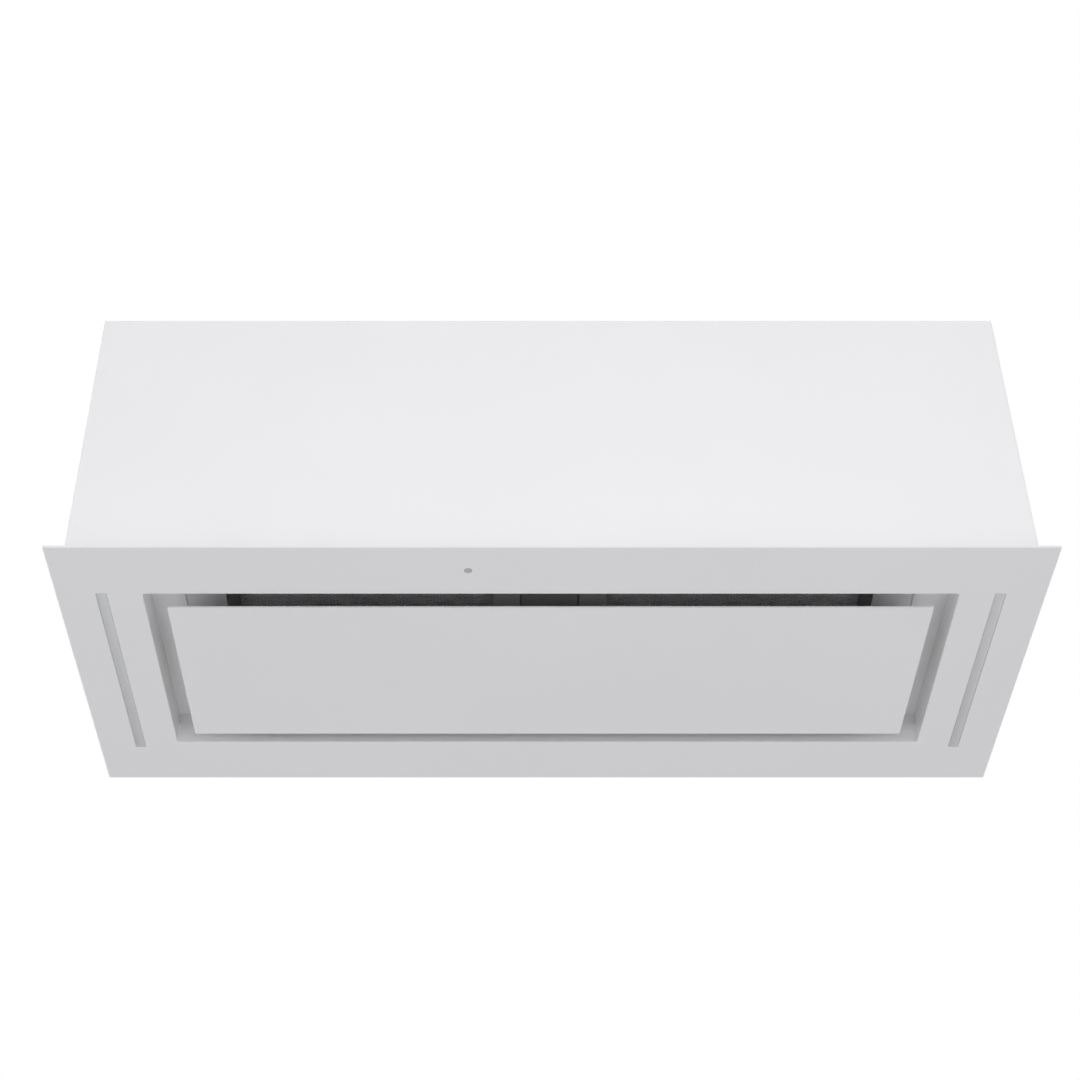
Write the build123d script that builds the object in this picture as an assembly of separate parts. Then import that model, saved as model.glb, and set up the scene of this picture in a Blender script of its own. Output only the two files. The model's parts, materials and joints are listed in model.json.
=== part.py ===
from build123d import *
import math
import os

# Ceiling range hood, in millimetres.
# Origin: centre of the underside of the fascia. +X to the right, +Y away from the viewer, +Z up.

# ---- driving sizes: fascia ----
fascia_w = 900.0          # along X
fascia_d = 380.0          # along Y
fascia_thk = 1.5          # sheet
hem_w = 8.0               # rim folded back on itself, on the upper side
side_border = 79.0        # fascia's end to the opening
front_border = 67.5       # fascia's front or rear to the opening
return_h = 22.0           # upturned flange round the opening, above the underside
corner_r = 3.0            # inner corners of the opening

# ---- housing ----
setback = 15.5            # fascia edge to housing wall, all round
housing_top = 298.0       # above the fascia's underside
sheet_thk = 1.0
end_thk = 1.0
bottom_flange = 10.0
end_flange = 12.0

# ---- weld studs and nuts on the fascia ----
stud_r = 2.0
stud_h = 9.0
stud_xs = (110.0, 330.0)
stud_ys = (90.0,)
stud_inset = 5.5          # housing wall to stud
nut_across = 7.0
nut_h = 3.2

# ---- light strips ----
led_from_side = 41.5
led_y = 4.0
led_w = 9.5
led_len = 254.0
led_lip = 1.75            # lens lip hidden behind the fascia
led_lip_h = 1.5
slot_clear = 0.25
channel_wall = 1.2
channel_h = 12.0
channel_clear = 0.3
channel_tab = 14.0
board_thk = 1.2

# ---- remote control receiver ----
receiver_x = -74.6
receiver_from_front = 33.0
receiver_r = 3.5
receiver_lip = 2.0
receiver_board_w = 20.0
receiver_board_d = 11.0
receiver_chip = 6.0
receiver_chip_h = 2.4

# ---- suction panel ----
gap_front = 21.0
gap_rear = 14.5
gap_side = 19.5
panel_thk = 1.2
panel_rim = 2.0
tray_inset = 24.0
tray_h = 14.0             # top of the stiffening tray above the underside
tray_thk = 0.8
tray_foot = 8.0

# ---- suction panel hinge ----
hinge_from_side = 29.5    # panel's end to the middle of the fixed leaf
hinge_from_rear = 11.5    # panel's rear edge to hinge axis
hinge_z = 17.0
hinge_pin_r = 2.5
hinge_eye_r = 5.0
hinge_leaf = 2.0
hinge_gap = 0.3
hinge_foot = 12.0
ear_foot_d = 22.0
ear_foot_thk = 1.2
pin_head_r = 4.0
pin_head_h = 1.5
run_clear = 0.05          # radial clearance of every turning pin
press_clear = 0.02        # radial clearance drawn for every pressed pin

# ---- panel catches ----
catch_from_side = 29.5
catch_from_front = 65.0
catch_w = 20.0
catch_d = 10.0
catch_thk = 1.2
catch_drop = 14.0
catch_gap = 0.3

# ---- inner tray and filter carrier ----
tray_wall = 1.0
wall_clear = 0.3
inner_foot = 10.0
filter_z = 36.0           # underside of the filters and of the carrier
ledge_thk = 1.2
ledge_side_w = 30.0
ledge_front_w = 10.5
ledge_rear_w = 5.5
carrier_thk = 1.2
carrier_lap = 9.0
carrier_front_lap = 8.5
carrier_rear_lap = 5.0

# ---- grease filters ----
divider_w = 53.0
filter_side_w = 67.5      # fascia opening to the carrier's filter opening
filter_from_front = 23.5
filter_from_rear = 10.5
filter_thk = 9.0
filter_side_clear = 1.0
filter_front_clear = 3.0
filter_rear_clear = 3.0
frame_bar = 11.0
frame_inner_bar = 26.0
mesh_thk = 2.0
mesh_z = 3.5              # above the filter's underside
mesh_columns = 24
mesh_rows = 12
mesh_strand = 1.7
peg_r = 2.0
peg_out = 5.5
peg_from_rear = 5.5
peg_z = 4.5               # above the filter's underside
hook_thk = 1.5
hook_clear = 0.5
hook_foot = 10.0
hook_foot_thk = 1.0
hook_d = 13.0
hook_h = 9.0
pull_w = 44.0
pull_drop = 8.0
pull_thk = 1.0
clip_w = 18.0
clip_pitch = 120.0
clip_thk = 0.6
clip_reach = 3.0
clip_gap = 0.4
clip_base = 12.0

# ---- duct outlet ----
collar_y = 46.0
collar_r = 74.5
collar_wall = 2.0
collar_h = 47.0
collar_flange = 184.0
collar_flange_thk = 3.0
collar_screw_pitch = 168.0
ledge_ring_w = 3.0
ledge_ring_h = 2.0
ledge_ring_z = 6.0        # above the housing's top
flap_thk = 1.5
flap_clear = 1.5
flap_rest_gap = 0.3
flap_pin_r = 2.0
knuckle_r = 3.6
knuckle_gap = 0.4
knuckle_w = 16.0
knuckle_xs = (22.0, 46.0)

# ---- blower ----
blower_half = 65.0        # centre to the inside of a side plate
fan_z = 165.0
fan_r = 75.0
scroll_gap = 5.0          # impeller to scroll at the cut-off
scroll_growth = 40.0      # how much the scroll's radius grows to the throat
scroll_thk = 1.0
throat_d = 92.0
side_margin = 7.0
side_flange = 14.0
inlet_r = 58.5
inlet_lip = 8.0
inlet_lip_thk = 1.5
blade_count = 36
blade_thk = 1.0
blade_depth = 13.0
fan_half = 55.0
end_ring_thk = 2.0
disc_half = 1.5
hub_r = 10.0
hub_half = 9.0

# ---- motor ----
shaft_r = 4.0
shaft_start = -12.0
motor_x0 = 12.0
motor_x1 = 68.0
motor_r = 38.0
motor_wall = 1.5
bearing_r = 11.0
bearing_w = 7.0
bearing_seat = 2.5
stator_half = 13.0
stator_bore = 24.0
winding_w = 5.0
winding_r = 34.0
rotor_air = 0.5
shaft_hole_clear = 1.0
spider_hub_r = 30.0
spider_thk = 2.0
spider_arm_w = 18.0
spider_reach = 80.0
spider_screw_r = 74.0
bush_r = 5.0
motor_screw_pitch_r = 20.0

# ---- fasteners ----
screw_r = 2.0
screw_clear = 0.2
screw_head_r = 4.0
screw_head_h = 2.2
screw_len = 8.0
rivet_r = 1.6
rivet_clear = 0.1
rivet_head_r = 3.2
rivet_head_h = 1.0
rivet_tail_r = 2.4
end_rivet_ys = (60.0, 140.0)
end_rivet_zs = (60.0, 150.0, 240.0)

# ---- hanger rails ----
rail_from_side = 84.5     # housing's end to the middle of the rail
rail_from_front = 44.5
rail_top_w = 40.0
rail_h = 22.5
rail_thk = 2.5
rail_foot = 15.0
hanger_hole_r = 4.5
hanger_from_end = 20.0
rail_rivet_y = 60.0
rail_rivet_r = 2.4
rail_rivet_head_r = 5.0

# ---- electrics ----
box_to_rail = 60.0
box_w = 170.0
box_from_front = 24.5
box_d = 120.0
box_h = 52.0
box_thk = 1.2
box_boss_r = 4.0
box_boss_h = 10.0
grommet_r = 10.0
grommet_lip = 3.0
grommet_lip_h = 2.5
cable_r = 4.5
pcb_thk = 1.6
pcb_margin = 14.0
pcb_drop = 10.0
post_r = 3.0
terminal_w = 40.0
terminal_d = 18.0
terminal_h = 14.0
driver_w = 84.0
driver_d = 30.0
driver_h = 20.0
capacitor_r = 14.0
capacitor_len = 56.0
part_gap = 0.1            # loose inner parts above what they lie on

# ---- places that follow from the sizes above ----
housing_x = fascia_w / 2 - setback
housing_y = fascia_d / 2 - setback
wrap_x = housing_x - end_thk
top_under = housing_top - sheet_thk
open_x = fascia_w / 2 - side_border
open_y = fascia_d / 2 - front_border
led_x = fascia_w / 2 - led_from_side
panel_x = open_x - gap_side
panel_y0 = -open_y + gap_front
panel_y1 = open_y - gap_rear
tray_x = panel_x - tray_inset
tray_y0 = panel_y0 + tray_inset
tray_y1 = panel_y1 - tray_inset
hinge_x = panel_x - hinge_from_side
hinge_y = panel_y1 - hinge_from_rear
catch_x = panel_x - catch_from_side
catch_y = panel_y0 + catch_from_front
inner_x = open_x + fascia_thk + wall_clear
inner_y = open_y + fascia_thk + wall_clear
ledge_x = open_x - ledge_side_w
ledge_y0 = -open_y + ledge_front_w
ledge_y1 = open_y - ledge_rear_w
carrier_x = ledge_x + carrier_lap
carrier_y0 = ledge_y0 - carrier_front_lap
carrier_y1 = ledge_y1 + carrier_rear_lap
carrier_top = filter_z + carrier_thk
filter_outer_x = open_x - filter_side_w
filter_front_y = -open_y + filter_from_front
filter_rear_y = open_y - filter_from_rear
filter_x0 = divider_w / 2 + filter_side_clear
filter_x1 = filter_outer_x - filter_side_clear
peg_y = filter_rear_y - peg_from_rear
peg_axis_z = filter_z + peg_z
collar_bore = collar_r - collar_wall
ledge_top = housing_top + ledge_ring_z + ledge_ring_h
flap_z = ledge_top + flap_rest_gap
flap_axis_z = flap_z + flap_pin_r
throat_y1 = collar_y + throat_d / 2
throat_y0 = collar_y - throat_d / 2
scroll_r0 = fan_r + scroll_gap
fan_y = throat_y1 - scroll_r0 - scroll_growth
cutoff = math.acos((throat_y0 - fan_y) / scroll_r0)
side_x = blower_half + scroll_thk
stator_x = (motor_x0 + motor_x1) / 2
spider_x = motor_x1
rail_x = housing_x - rail_from_side
rail_half = housing_y - rail_from_front
hanger_y = rail_half - hanger_from_end
box_x1 = rail_x - box_to_rail
box_x0 = box_x1 - box_w
box_y0 = -housing_y + box_from_front
box_y1 = box_y0 + box_d
box_under = top_under - box_h
grommet_x = (box_x0 + box_x1) / 2
grommet_y = box_y1 - 3 * grommet_r
stud_row_y = housing_y - stud_inset
stud_row_x = housing_x - stud_inset
receiver_y = -fascia_d / 2 + receiver_from_front
channel_half = led_w / 2 + led_lip + channel_clear + channel_wall
channel_end = led_len / 2 + led_lip + channel_clear + channel_wall


# ---- small helpers ----
def block(x0, x1, y0, y1, z0, z1):
    """A box between two opposite corners."""
    return Pos((x0 + x1) / 2, (y0 + y1) / 2, (z0 + z1) / 2) * Box(x1 - x0, y1 - y0, z1 - z0)


def rod_z(x, y, z0, z1, r):
    """A round bar that stands up."""
    return Pos(x, y, (z0 + z1) / 2) * Cylinder(r, z1 - z0)


def rod_x(x0, x1, y, z, r):
    """A round bar along X."""
    return Pos((x0 + x1) / 2, y, z) * Rot(0, 90, 0) * Cylinder(r, x1 - x0)


def rod_y(x, y0, y1, z, r):
    """A round bar along Y."""
    return Pos(x, (y0 + y1) / 2, z) * Rot(90, 0, 0) * Cylinder(r, y1 - y0)


def tube_x(x0, x1, y, z, r, bore):
    """A ring or tube along X."""
    return rod_x(x0, x1, y, z, r) - rod_x(x0, x1, y, z, bore)


def tube_z(x, y, z0, z1, r, bore):
    """A ring or tube that stands up."""
    return rod_z(x, y, z0, z1, r) - rod_z(x, y, z0, z1, bore)


def along_x(outline, x0, x1):
    """A face drawn in (y, z), carried from x0 to x1."""
    return extrude(Plane.YZ.offset(x0) * outline, amount=x1 - x0)


def outline_of(points):
    """A flat face inside a closed run of corners."""
    return make_face(Polyline(*points, close=True))


def both_sides(shape):
    """A shape with its mirror image across the middle of the hood."""
    return [shape, mirror(shape, about=Plane.YZ)]


def group(solids):
    """Separate solids that share one node."""
    return Compound(children=[Part(solid.wrapped) for item in solids for solid in item.solids()])


def save(name, shape):
    """Writes one node."""
    shape.label = name
    export_step(shape, f"parts/{name}.step")


# ---- places that several pieces share ----
def stud_places():
    """Where the fascia's studs come through the housing's bottom flanges."""
    rows = [(sx * x, sy * stud_row_y) for x in stud_xs for sx in (-1, 1) for sy in (-1, 1)]
    ends = [(sx * stud_row_x, sy * y) for y in stud_ys for sx in (-1, 1) for sy in (-1, 1)]
    return rows + ends


def channel_places():
    """Where the light channels' tabs are held."""
    reach = channel_end + channel_tab / 2
    return [(sx * led_x, led_y + sy * reach) for sx in (-1, 1) for sy in (-1, 1)]


def collar_screw_places():
    """The collar flange's four corners."""
    half = collar_screw_pitch / 2
    return [(sx * half, collar_y + sy * half) for sx in (-1, 1) for sy in (-1, 1)]


def blower_screw_places():
    """The side plates' top flanges, clear of the collar."""
    x = side_x + side_flange / 2
    reach = throat_d / 2 + side_margin / 2
    return [(sx * x, collar_y + sy * reach) for sx in (-1, 1) for sy in (-1, 1)]


def carrier_screw_places():
    """Where the carrier is held on the inner tray's side ledges."""
    x = ledge_x + carrier_lap / 2
    return [(sx * x, y) for sx in (-1, 1) for y in (filter_front_y, 0.0, -filter_front_y)]


def box_boss_places():
    """The control box's corner bosses."""
    inset = box_boss_r
    return [(x, y) for x in (box_x0 + inset, box_x1 - inset) for y in (box_y0 + inset, box_y1 - inset)]


def box_rivet_places():
    """Where the control box hangs from the housing's top."""
    inset = 4 * box_boss_r
    return [(x, y) for x in (box_x0 + inset, box_x1 - inset) for y in (box_y0 + inset, box_y1 - inset)]


def end_rivet_places():
    """Top rivets of both end plates."""
    x = wrap_x - end_flange / 2
    return [(sx * x, sy * y) for sx in (-1, 1) for sy in (-1, 1) for y in end_rivet_ys]


def end_rivet_heights():
    """Rear rivets of both end plates, as (x, z)."""
    x = wrap_x - end_flange / 2
    return [(sx * x, z) for sx in (-1, 1) for z in end_rivet_zs]


def rail_rivet_places():
    """Feet of both hanger rails."""
    reach = rail_top_w / 2 - rail_thk + rail_foot / 2
    return [(sx * rail_x + side * reach, sy * rail_rivet_y)
            for sx in (-1, 1) for side in (-1, 1) for sy in (-1, 1)]


# ---- casing and fascia ----
def fascia_frame():
    """Folded sheet: hemmed rim, return flange round the opening, slots and weld studs."""
    plate = block(-fascia_w / 2, fascia_w / 2, -fascia_d / 2, fascia_d / 2, 0, fascia_thk)
    hem = block(-fascia_w / 2, fascia_w / 2, -fascia_d / 2, fascia_d / 2, fascia_thk, 2 * fascia_thk)
    in_x = fascia_w / 2 - hem_w
    in_y = fascia_d / 2 - hem_w
    hem -= block(-in_x, in_x, -in_y, in_y, fascia_thk, 2 * fascia_thk)
    rx = open_x + fascia_thk
    ry = open_y + fascia_thk
    collar = block(-rx, rx, -ry, ry, 0, return_h)
    frame = plate + hem + collar
    mouth = block(-open_x, open_x, -open_y, open_y, -1, return_h + 1)
    frame -= fillet(mouth.edges().filter_by(Axis.Z), corner_r)
    slot_half = led_w / 2 + slot_clear
    slot_end = led_len / 2 + slot_clear
    slot = block(led_x - slot_half, led_x + slot_half, led_y - slot_end, led_y + slot_end, -1, fascia_thk + 1)
    for cut in both_sides(slot):
        frame -= cut
    frame -= rod_z(receiver_x, receiver_y, -1, fascia_thk + 1, receiver_r + slot_clear / 2)
    for x, y in stud_places() + channel_places():
        frame += rod_z(x, y, fascia_thk, fascia_thk + stud_h, stud_r)
    return frame


def fascia_nuts():
    """Hexagon nuts on the studs, over the flanges and the channel tabs."""
    places = [(x, y, fascia_thk + sheet_thk) for x, y in stud_places()]
    places += [(x, y, fascia_thk + channel_wall) for x, y in channel_places()]
    nuts = []
    for x, y, z in places:
        hexagon = RegularPolygon(nut_across / 2, 6, major_radius=False)
        nut = extrude(Pos(x, y, z) * hexagon, amount=nut_h)
        nuts.append(nut - rod_z(x, y, z - 1, z + nut_h + 1, stud_r + press_clear))
    return group(nuts)


def housing_wrapper():
    """Front, top and rear in one bent sheet, with bottom flanges turned in."""
    z0 = fascia_thk
    y = housing_y - sheet_thk
    shell = block(-wrap_x, wrap_x, -housing_y, housing_y, z0, housing_top)
    shell -= block(-wrap_x, wrap_x, -y, y, z0 + sheet_thk, top_under)
    lip = housing_y - bottom_flange
    shell -= block(-wrap_x, wrap_x, -lip, lip, z0 - 1, z0 + 2 * sheet_thk)
    shell -= rod_z(0, collar_y, top_under - 1, housing_top + 1, collar_bore)
    shell -= rod_z(grommet_x, grommet_y, top_under - 1, housing_top + 1, grommet_r)
    for px, py in stud_places():
        shell -= rod_z(px, py, z0 - 1, z0 + 2 * sheet_thk, stud_r + screw_clear)
    for px, py in collar_screw_places() + blower_screw_places():
        shell -= rod_z(px, py, top_under - 1, housing_top + 1, screw_r + rivet_clear)
    for px, py in end_rivet_places() + box_rivet_places():
        shell -= rod_z(px, py, top_under - 1, housing_top + 1, rivet_r + rivet_clear)
    for px, pz in end_rivet_heights():
        shell -= rod_y(px, y - 1, housing_y + 1, pz, rivet_r + rivet_clear)
    for px, py in rail_rivet_places():
        shell -= rod_z(px, py, top_under - 1, housing_top + 1, rail_rivet_r + rivet_clear)
    return shell


def end_plate():
    """Right end of the housing, with flanges turned inwards."""
    z0 = fascia_thk
    y = housing_y - sheet_thk
    x = wrap_x - end_flange
    flange_z = z0 + 3 * sheet_thk
    plate = block(wrap_x, housing_x, -housing_y, housing_y, z0, housing_top)
    plate += block(x, wrap_x, -y, y, top_under - end_thk, top_under)
    plate += block(x, wrap_x, -y, -y + end_thk, flange_z, top_under)
    plate += block(x, wrap_x, y - end_thk, y, flange_z, top_under)
    lip = housing_y - bottom_flange - end_thk
    plate += block(housing_x - bottom_flange, wrap_x, -lip, lip, z0, z0 + end_thk)
    for px, py in stud_places():
        plate -= rod_z(px, py, z0 - 1, z0 + 2 * end_thk, stud_r + screw_clear)
    for px, py in end_rivet_places():
        plate -= rod_z(px, py, top_under - 2 * end_thk, top_under + 1, rivet_r + rivet_clear)
    for px, pz in end_rivet_heights():
        plate -= rod_y(px, y - 2 * end_thk, y + 1, pz, rivet_r + rivet_clear)
    return plate


def rivet(r, head_r, head_h, grip, tail_r):
    """A rivet with its head's seat at the origin, and its shank down through the grip."""
    shank = Pos(0, 0, -grip / 2) * Cylinder(r, grip)
    head = Pos(0, 0, head_h / 2) * Cylinder(head_r, head_h)
    head = fillet(head.edges().sort_by(Axis.Z)[-1:], head_h * 0.6)
    tail = Pos(0, 0, -grip - head_h / 2) * Cylinder(tail_r, head_h)
    return shank + head + tail


def housing_rivets():
    """Small rivets through the end flanges and the control box's back."""
    top = rivet(rivet_r, rivet_head_r, rivet_head_h, sheet_thk + end_thk, rivet_tail_r)
    box = rivet(rivet_r, rivet_head_r, rivet_head_h, sheet_thk + box_thk, rivet_tail_r)
    solids = [Pos(x, y, housing_top) * top for x, y in end_rivet_places()]
    solids += [Pos(x, y, housing_top) * box for x, y in box_rivet_places()]
    solids += [Pos(x, housing_y, z) * Rot(-90, 0, 0) * top for x, z in end_rivet_heights()]
    return group(solids)


def inner_tray():
    """Walls round the opening, a foot on the fascia and a ledge for the carrier."""
    z0 = fascia_thk
    wx = inner_x + tray_wall
    wy = inner_y + tray_wall
    fx = wx + inner_foot
    fy = wy + inner_foot
    tray = block(-wx, wx, -wy, wy, z0, filter_z)
    tray += block(-fx, fx, -fy, fy, z0, z0 + tray_wall)
    tray -= block(-inner_x, inner_x, -inner_y, inner_y, z0 - 1, filter_z - ledge_thk)
    tray -= block(-ledge_x, ledge_x, ledge_y0, ledge_y1, 0, filter_z + 1)
    for x, y in carrier_screw_places():
        tray -= rod_z(x, y, filter_z - 2 * ledge_thk, filter_z + 1, screw_r + screw_clear)
    return tray


def hanger_rail():
    """Right hanger rail: a hat section with two holes for the suspension rods."""
    half = rail_half
    top_half = rail_top_w / 2
    foot_half = top_half - rail_thk + rail_foot
    z0 = housing_top
    rail = block(rail_x - top_half, rail_x + top_half, -half, half, z0, z0 + rail_h)
    hollow = top_half - rail_thk
    rail -= block(rail_x - hollow, rail_x + hollow, -half, half, z0, z0 + rail_h - rail_thk)
    for side in (-1, 1):
        inner = rail_x + side * hollow
        outer = rail_x + side * foot_half
        rail += block(min(inner, outer), max(inner, outer), -half, half, z0, z0 + rail_thk)
    for sy in (-1, 1):
        rail -= rod_z(rail_x, sy * hanger_y, z0 + rail_thk, z0 + 2 * rail_h, hanger_hole_r)
    for px, py in rail_rivet_places():
        rail -= rod_z(px, py, z0 - 1, z0 + 2 * rail_thk, rail_rivet_r + rivet_clear)
    return rail


def rail_rivets():
    """Structural rivets through the rails' feet and the housing's top."""
    one = rivet(rail_rivet_r, rail_rivet_head_r, 2 * rivet_head_h, rail_thk + sheet_thk,
                rail_rivet_r + rivet_head_h)
    return group([Pos(x, y, housing_top + rail_thk) * one for x, y in rail_rivet_places()])


# ---- light and receiver ----
def led_lens():
    """Right diffuser strip, flush with the underside, with a lip behind the fascia."""
    half = led_w / 2
    end = led_len / 2
    lens = block(led_x - half, led_x + half, led_y - end, led_y + end, 0, fascia_thk)
    half += led_lip
    end += led_lip
    lip_top = fascia_thk + led_lip_h
    return lens + block(led_x - half, led_x + half, led_y - end, led_y + end, fascia_thk, lip_top)


def led_channel():
    """Right light channel: a cap over the lens with a tab at each end."""
    z0 = fascia_thk
    end = channel_end
    half = channel_half
    cap = block(led_x - half, led_x + half, led_y - end, led_y + end, z0, z0 + channel_h)
    w = channel_wall
    cap -= block(led_x - half + w, led_x + half - w, led_y - end + w, led_y + end - w, z0, z0 + channel_h - w)
    reach = end + channel_tab
    for side in (-1, 1):
        y = sorted((led_y + side * end, led_y + side * reach))
        cap += block(led_x - half, led_x + half, y[0], y[1], z0, z0 + w)
    for x, y in channel_places():
        cap -= rod_z(x, y, z0 - 1, z0 + 2 * w, stud_r + screw_clear)
    return cap


def led_boards():
    """Circuit strips under the roofs of both channels, with their diodes in a row."""
    half = channel_half - channel_wall - channel_clear
    end = channel_end - channel_wall - channel_clear
    z1 = fascia_thk + channel_h - channel_wall
    z0 = z1 - board_thk
    board = block(led_x - half, led_x + half, led_y - end, led_y + end, z0, z1)
    count = 12
    pitch = led_len / count
    for i in range(count):
        y = led_y + (i - (count - 1) / 2) * pitch
        board += block(led_x - board_thk, led_x + board_thk, y - board_thk, y + board_thk, z0 - board_thk, z0)
    return group(both_sides(board))


def receiver_window():
    """Round window for the remote control, flush with the underside."""
    window = rod_z(receiver_x, receiver_y, 0, fascia_thk, receiver_r)
    return window + rod_z(receiver_x, receiver_y, fascia_thk, 2 * fascia_thk, receiver_r + receiver_lip)


def receiver_board():
    """Small board with the sensor, on top of the window's lip."""
    z0 = 2 * fascia_thk
    half_w = receiver_board_w / 2
    half_d = receiver_board_d / 2
    half_chip = receiver_chip / 2
    x = receiver_x
    y = receiver_y
    board = block(x - half_w, x + half_w, y - half_d, y + half_d, z0, z0 + pcb_thk)
    chip_top = z0 + pcb_thk + receiver_chip_h
    return board + block(x - half_chip, x + half_chip, y - half_chip, y + half_chip, z0 + pcb_thk, chip_top)


# ---- suction panel ----
def panel_skin():
    """The flush centre panel: a flat sheet with a low upturned rim."""
    skin = block(-panel_x, panel_x, panel_y0, panel_y1, 0, panel_rim)
    x = panel_x - panel_thk
    skin -= block(-x, x, panel_y0 + panel_thk, panel_y1 - panel_thk, panel_thk, panel_rim + 1)
    return skin


def panel_tray():
    """Shallow tray that stiffens the panel, its foot flat on the skin."""
    z0 = panel_thk
    foot = tray_foot
    tray = block(-tray_x, tray_x, tray_y0, tray_y1, z0, tray_h)
    tray += block(-tray_x - foot, tray_x + foot, tray_y0 - foot, tray_y1 + foot, z0, z0 + tray_thk)
    x = tray_x - tray_thk
    return tray - block(-x, x, tray_y0 + tray_thk, tray_y1 - tray_thk, 0, tray_h - tray_thk)


def panel_hinge_ears():
    """Ears on the tray that carry the hinge pins."""
    x1 = hinge_x - hinge_leaf / 2 - hinge_gap
    x0 = x1 - hinge_leaf
    foot_y1 = tray_y1
    foot_y0 = foot_y1 - ear_foot_d
    corners = [(foot_y0, tray_h), (foot_y1, tray_h), (hinge_y, hinge_z - hinge_eye_r),
               (hinge_y, hinge_z + hinge_eye_r), (foot_y0, tray_h + ear_foot_thk)]
    ear = along_x(outline_of(corners), x0, x1)
    ear += rod_x(x0, x1, hinge_y, hinge_z, hinge_eye_r)
    ear += block(x0 - hinge_foot, x0, foot_y0, foot_y1, tray_h, tray_h + ear_foot_thk)
    ear -= rod_x(x0 - 1, x1 + 1, hinge_y, hinge_z, hinge_pin_r + press_clear)
    return group(both_sides(ear))


def panel_hinge_pins():
    """Headed hinge pins, one at each end of the panel."""
    outer = hinge_x + hinge_leaf / 2 + hinge_gap
    inner = hinge_x - 1.5 * hinge_leaf - 2 * hinge_gap
    pin = rod_x(inner - pin_head_h, outer + pin_head_h, hinge_y, hinge_z, hinge_pin_r)
    pin += rod_x(outer, outer + pin_head_h, hinge_y, hinge_z, pin_head_r)
    pin += rod_x(inner - pin_head_h, inner, hinge_y, hinge_z, pin_head_r)
    return group(both_sides(pin))


def hinge_brackets():
    """Fixed leaves that hang from the inner ledge of the carrier and hold the pins."""
    x0 = hinge_x - hinge_leaf / 2
    x1 = hinge_x + hinge_leaf / 2
    half = hinge_eye_r
    leaf = block(x0, x1, hinge_y - half, hinge_y + half, hinge_z, filter_z)
    leaf += rod_x(x0, x1, hinge_y, hinge_z, hinge_eye_r)
    leaf += block(x1, x1 + hinge_foot, hinge_y - half, hinge_y + half, filter_z - ledge_thk, filter_z)
    leaf -= rod_x(x0 - 1, x1 + 1, hinge_y, hinge_z, hinge_pin_r + run_clear)
    return group(both_sides(leaf))


def catch_brackets():
    """Bent strips under the carrier that hold the catch magnets."""
    x0 = catch_x - catch_w / 2
    x1 = catch_x + catch_w / 2
    y0 = catch_y - catch_d / 2
    y1 = catch_y + catch_d / 2
    z0 = filter_z - catch_drop
    strip = block(x0, x1, y0, y1, z0, z0 + catch_thk)
    strip += block(x0, x1, y1 - catch_thk, y1, z0, filter_z)
    strip += block(x0, x1, y1, y1 + catch_d, filter_z - catch_thk, filter_z)
    return group(both_sides(strip))


def catch_magnets():
    """Magnets that hold the closed panel by its tray."""
    x0 = catch_x - catch_w / 2
    x1 = catch_x + catch_w / 2
    y0 = catch_y - catch_d / 2
    y1 = catch_y + catch_d / 2
    magnet = block(x0, x1, y0, y1, tray_h + catch_gap, filter_z - catch_drop)
    return group(both_sides(magnet))


# ---- grease filters ----
def filter_carrier():
    """Plate that lies on the ledge, with an opening for each filter and a divider between."""
    plate = block(-carrier_x, carrier_x, carrier_y0, carrier_y1, filter_z, carrier_top)
    y0 = filter_front_y - filter_front_clear
    y1 = filter_rear_y + filter_rear_clear
    for cut in both_sides(block(divider_w / 2, filter_outer_x, y0, y1, filter_z - 1, carrier_top + 1)):
        plate -= cut
    for x, y in carrier_screw_places():
        plate -= rod_z(x, y, filter_z - 1, carrier_top + 1, screw_r + screw_clear)
    return plate


def hook_ear(x0):
    """One upright ear with a hook slot for a filter's peg."""
    y0 = peg_y - hook_d / 2
    ear = block(x0, x0 + hook_thk, y0, y0 + hook_d, carrier_top, carrier_top + hook_h)
    r = peg_r + run_clear
    ear -= rod_x(x0 - 1, x0 + hook_thk + 1, peg_y, peg_axis_z, r)
    return ear - block(x0 - 1, x0 + hook_thk + 1, peg_y - r, peg_y + r, peg_axis_z, carrier_top + hook_h + 1)


def filter_hooks():
    """Bent strips on the carrier whose ears hold the filters' rear pegs."""
    y0 = peg_y - hook_d / 2
    y1 = y0 + hook_d
    foot_top = carrier_top + hook_foot_thk
    outer_x = filter_outer_x + hook_clear
    outer = hook_ear(outer_x) + block(outer_x, outer_x + hook_foot, y0, y1, carrier_top, foot_top)
    inner_x1 = divider_w / 2 - hook_clear
    middle = block(-inner_x1, inner_x1, y0, y1, carrier_top, foot_top)
    middle += hook_ear(inner_x1 - hook_thk) + hook_ear(-inner_x1)
    r = peg_r + run_clear
    middle -= rod_x(-inner_x1 - 1, inner_x1 + 1, peg_y, peg_axis_z, r)
    return group(both_sides(outer) + [middle])


def filter_clips(side):
    """Leaf springs on the carrier's front rail that hold one filter's front edge up."""
    rail_edge = filter_front_y - filter_front_clear
    leg_y1 = rail_edge + clip_thk + 2 * clip_gap
    leg_y0 = leg_y1 - clip_thk
    foot_z = filter_z - clip_gap
    middle = (filter_x0 + filter_x1) / 2
    springs = []
    for x in (middle - clip_pitch / 2, middle + clip_pitch / 2):
        x0 = x - clip_w / 2
        x1 = x + clip_w / 2
        clip = block(x0, x1, rail_edge - clip_base, leg_y1, carrier_top, carrier_top + clip_thk)
        clip += block(x0, x1, leg_y0, leg_y1, foot_z - clip_thk, carrier_top + clip_thk)
        clip += block(x0, x1, leg_y0, filter_front_y + clip_reach, foot_z - clip_thk, foot_z)
        springs.append(clip if side > 0 else mirror(clip, about=Plane.YZ))
    return group(springs)


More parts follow.
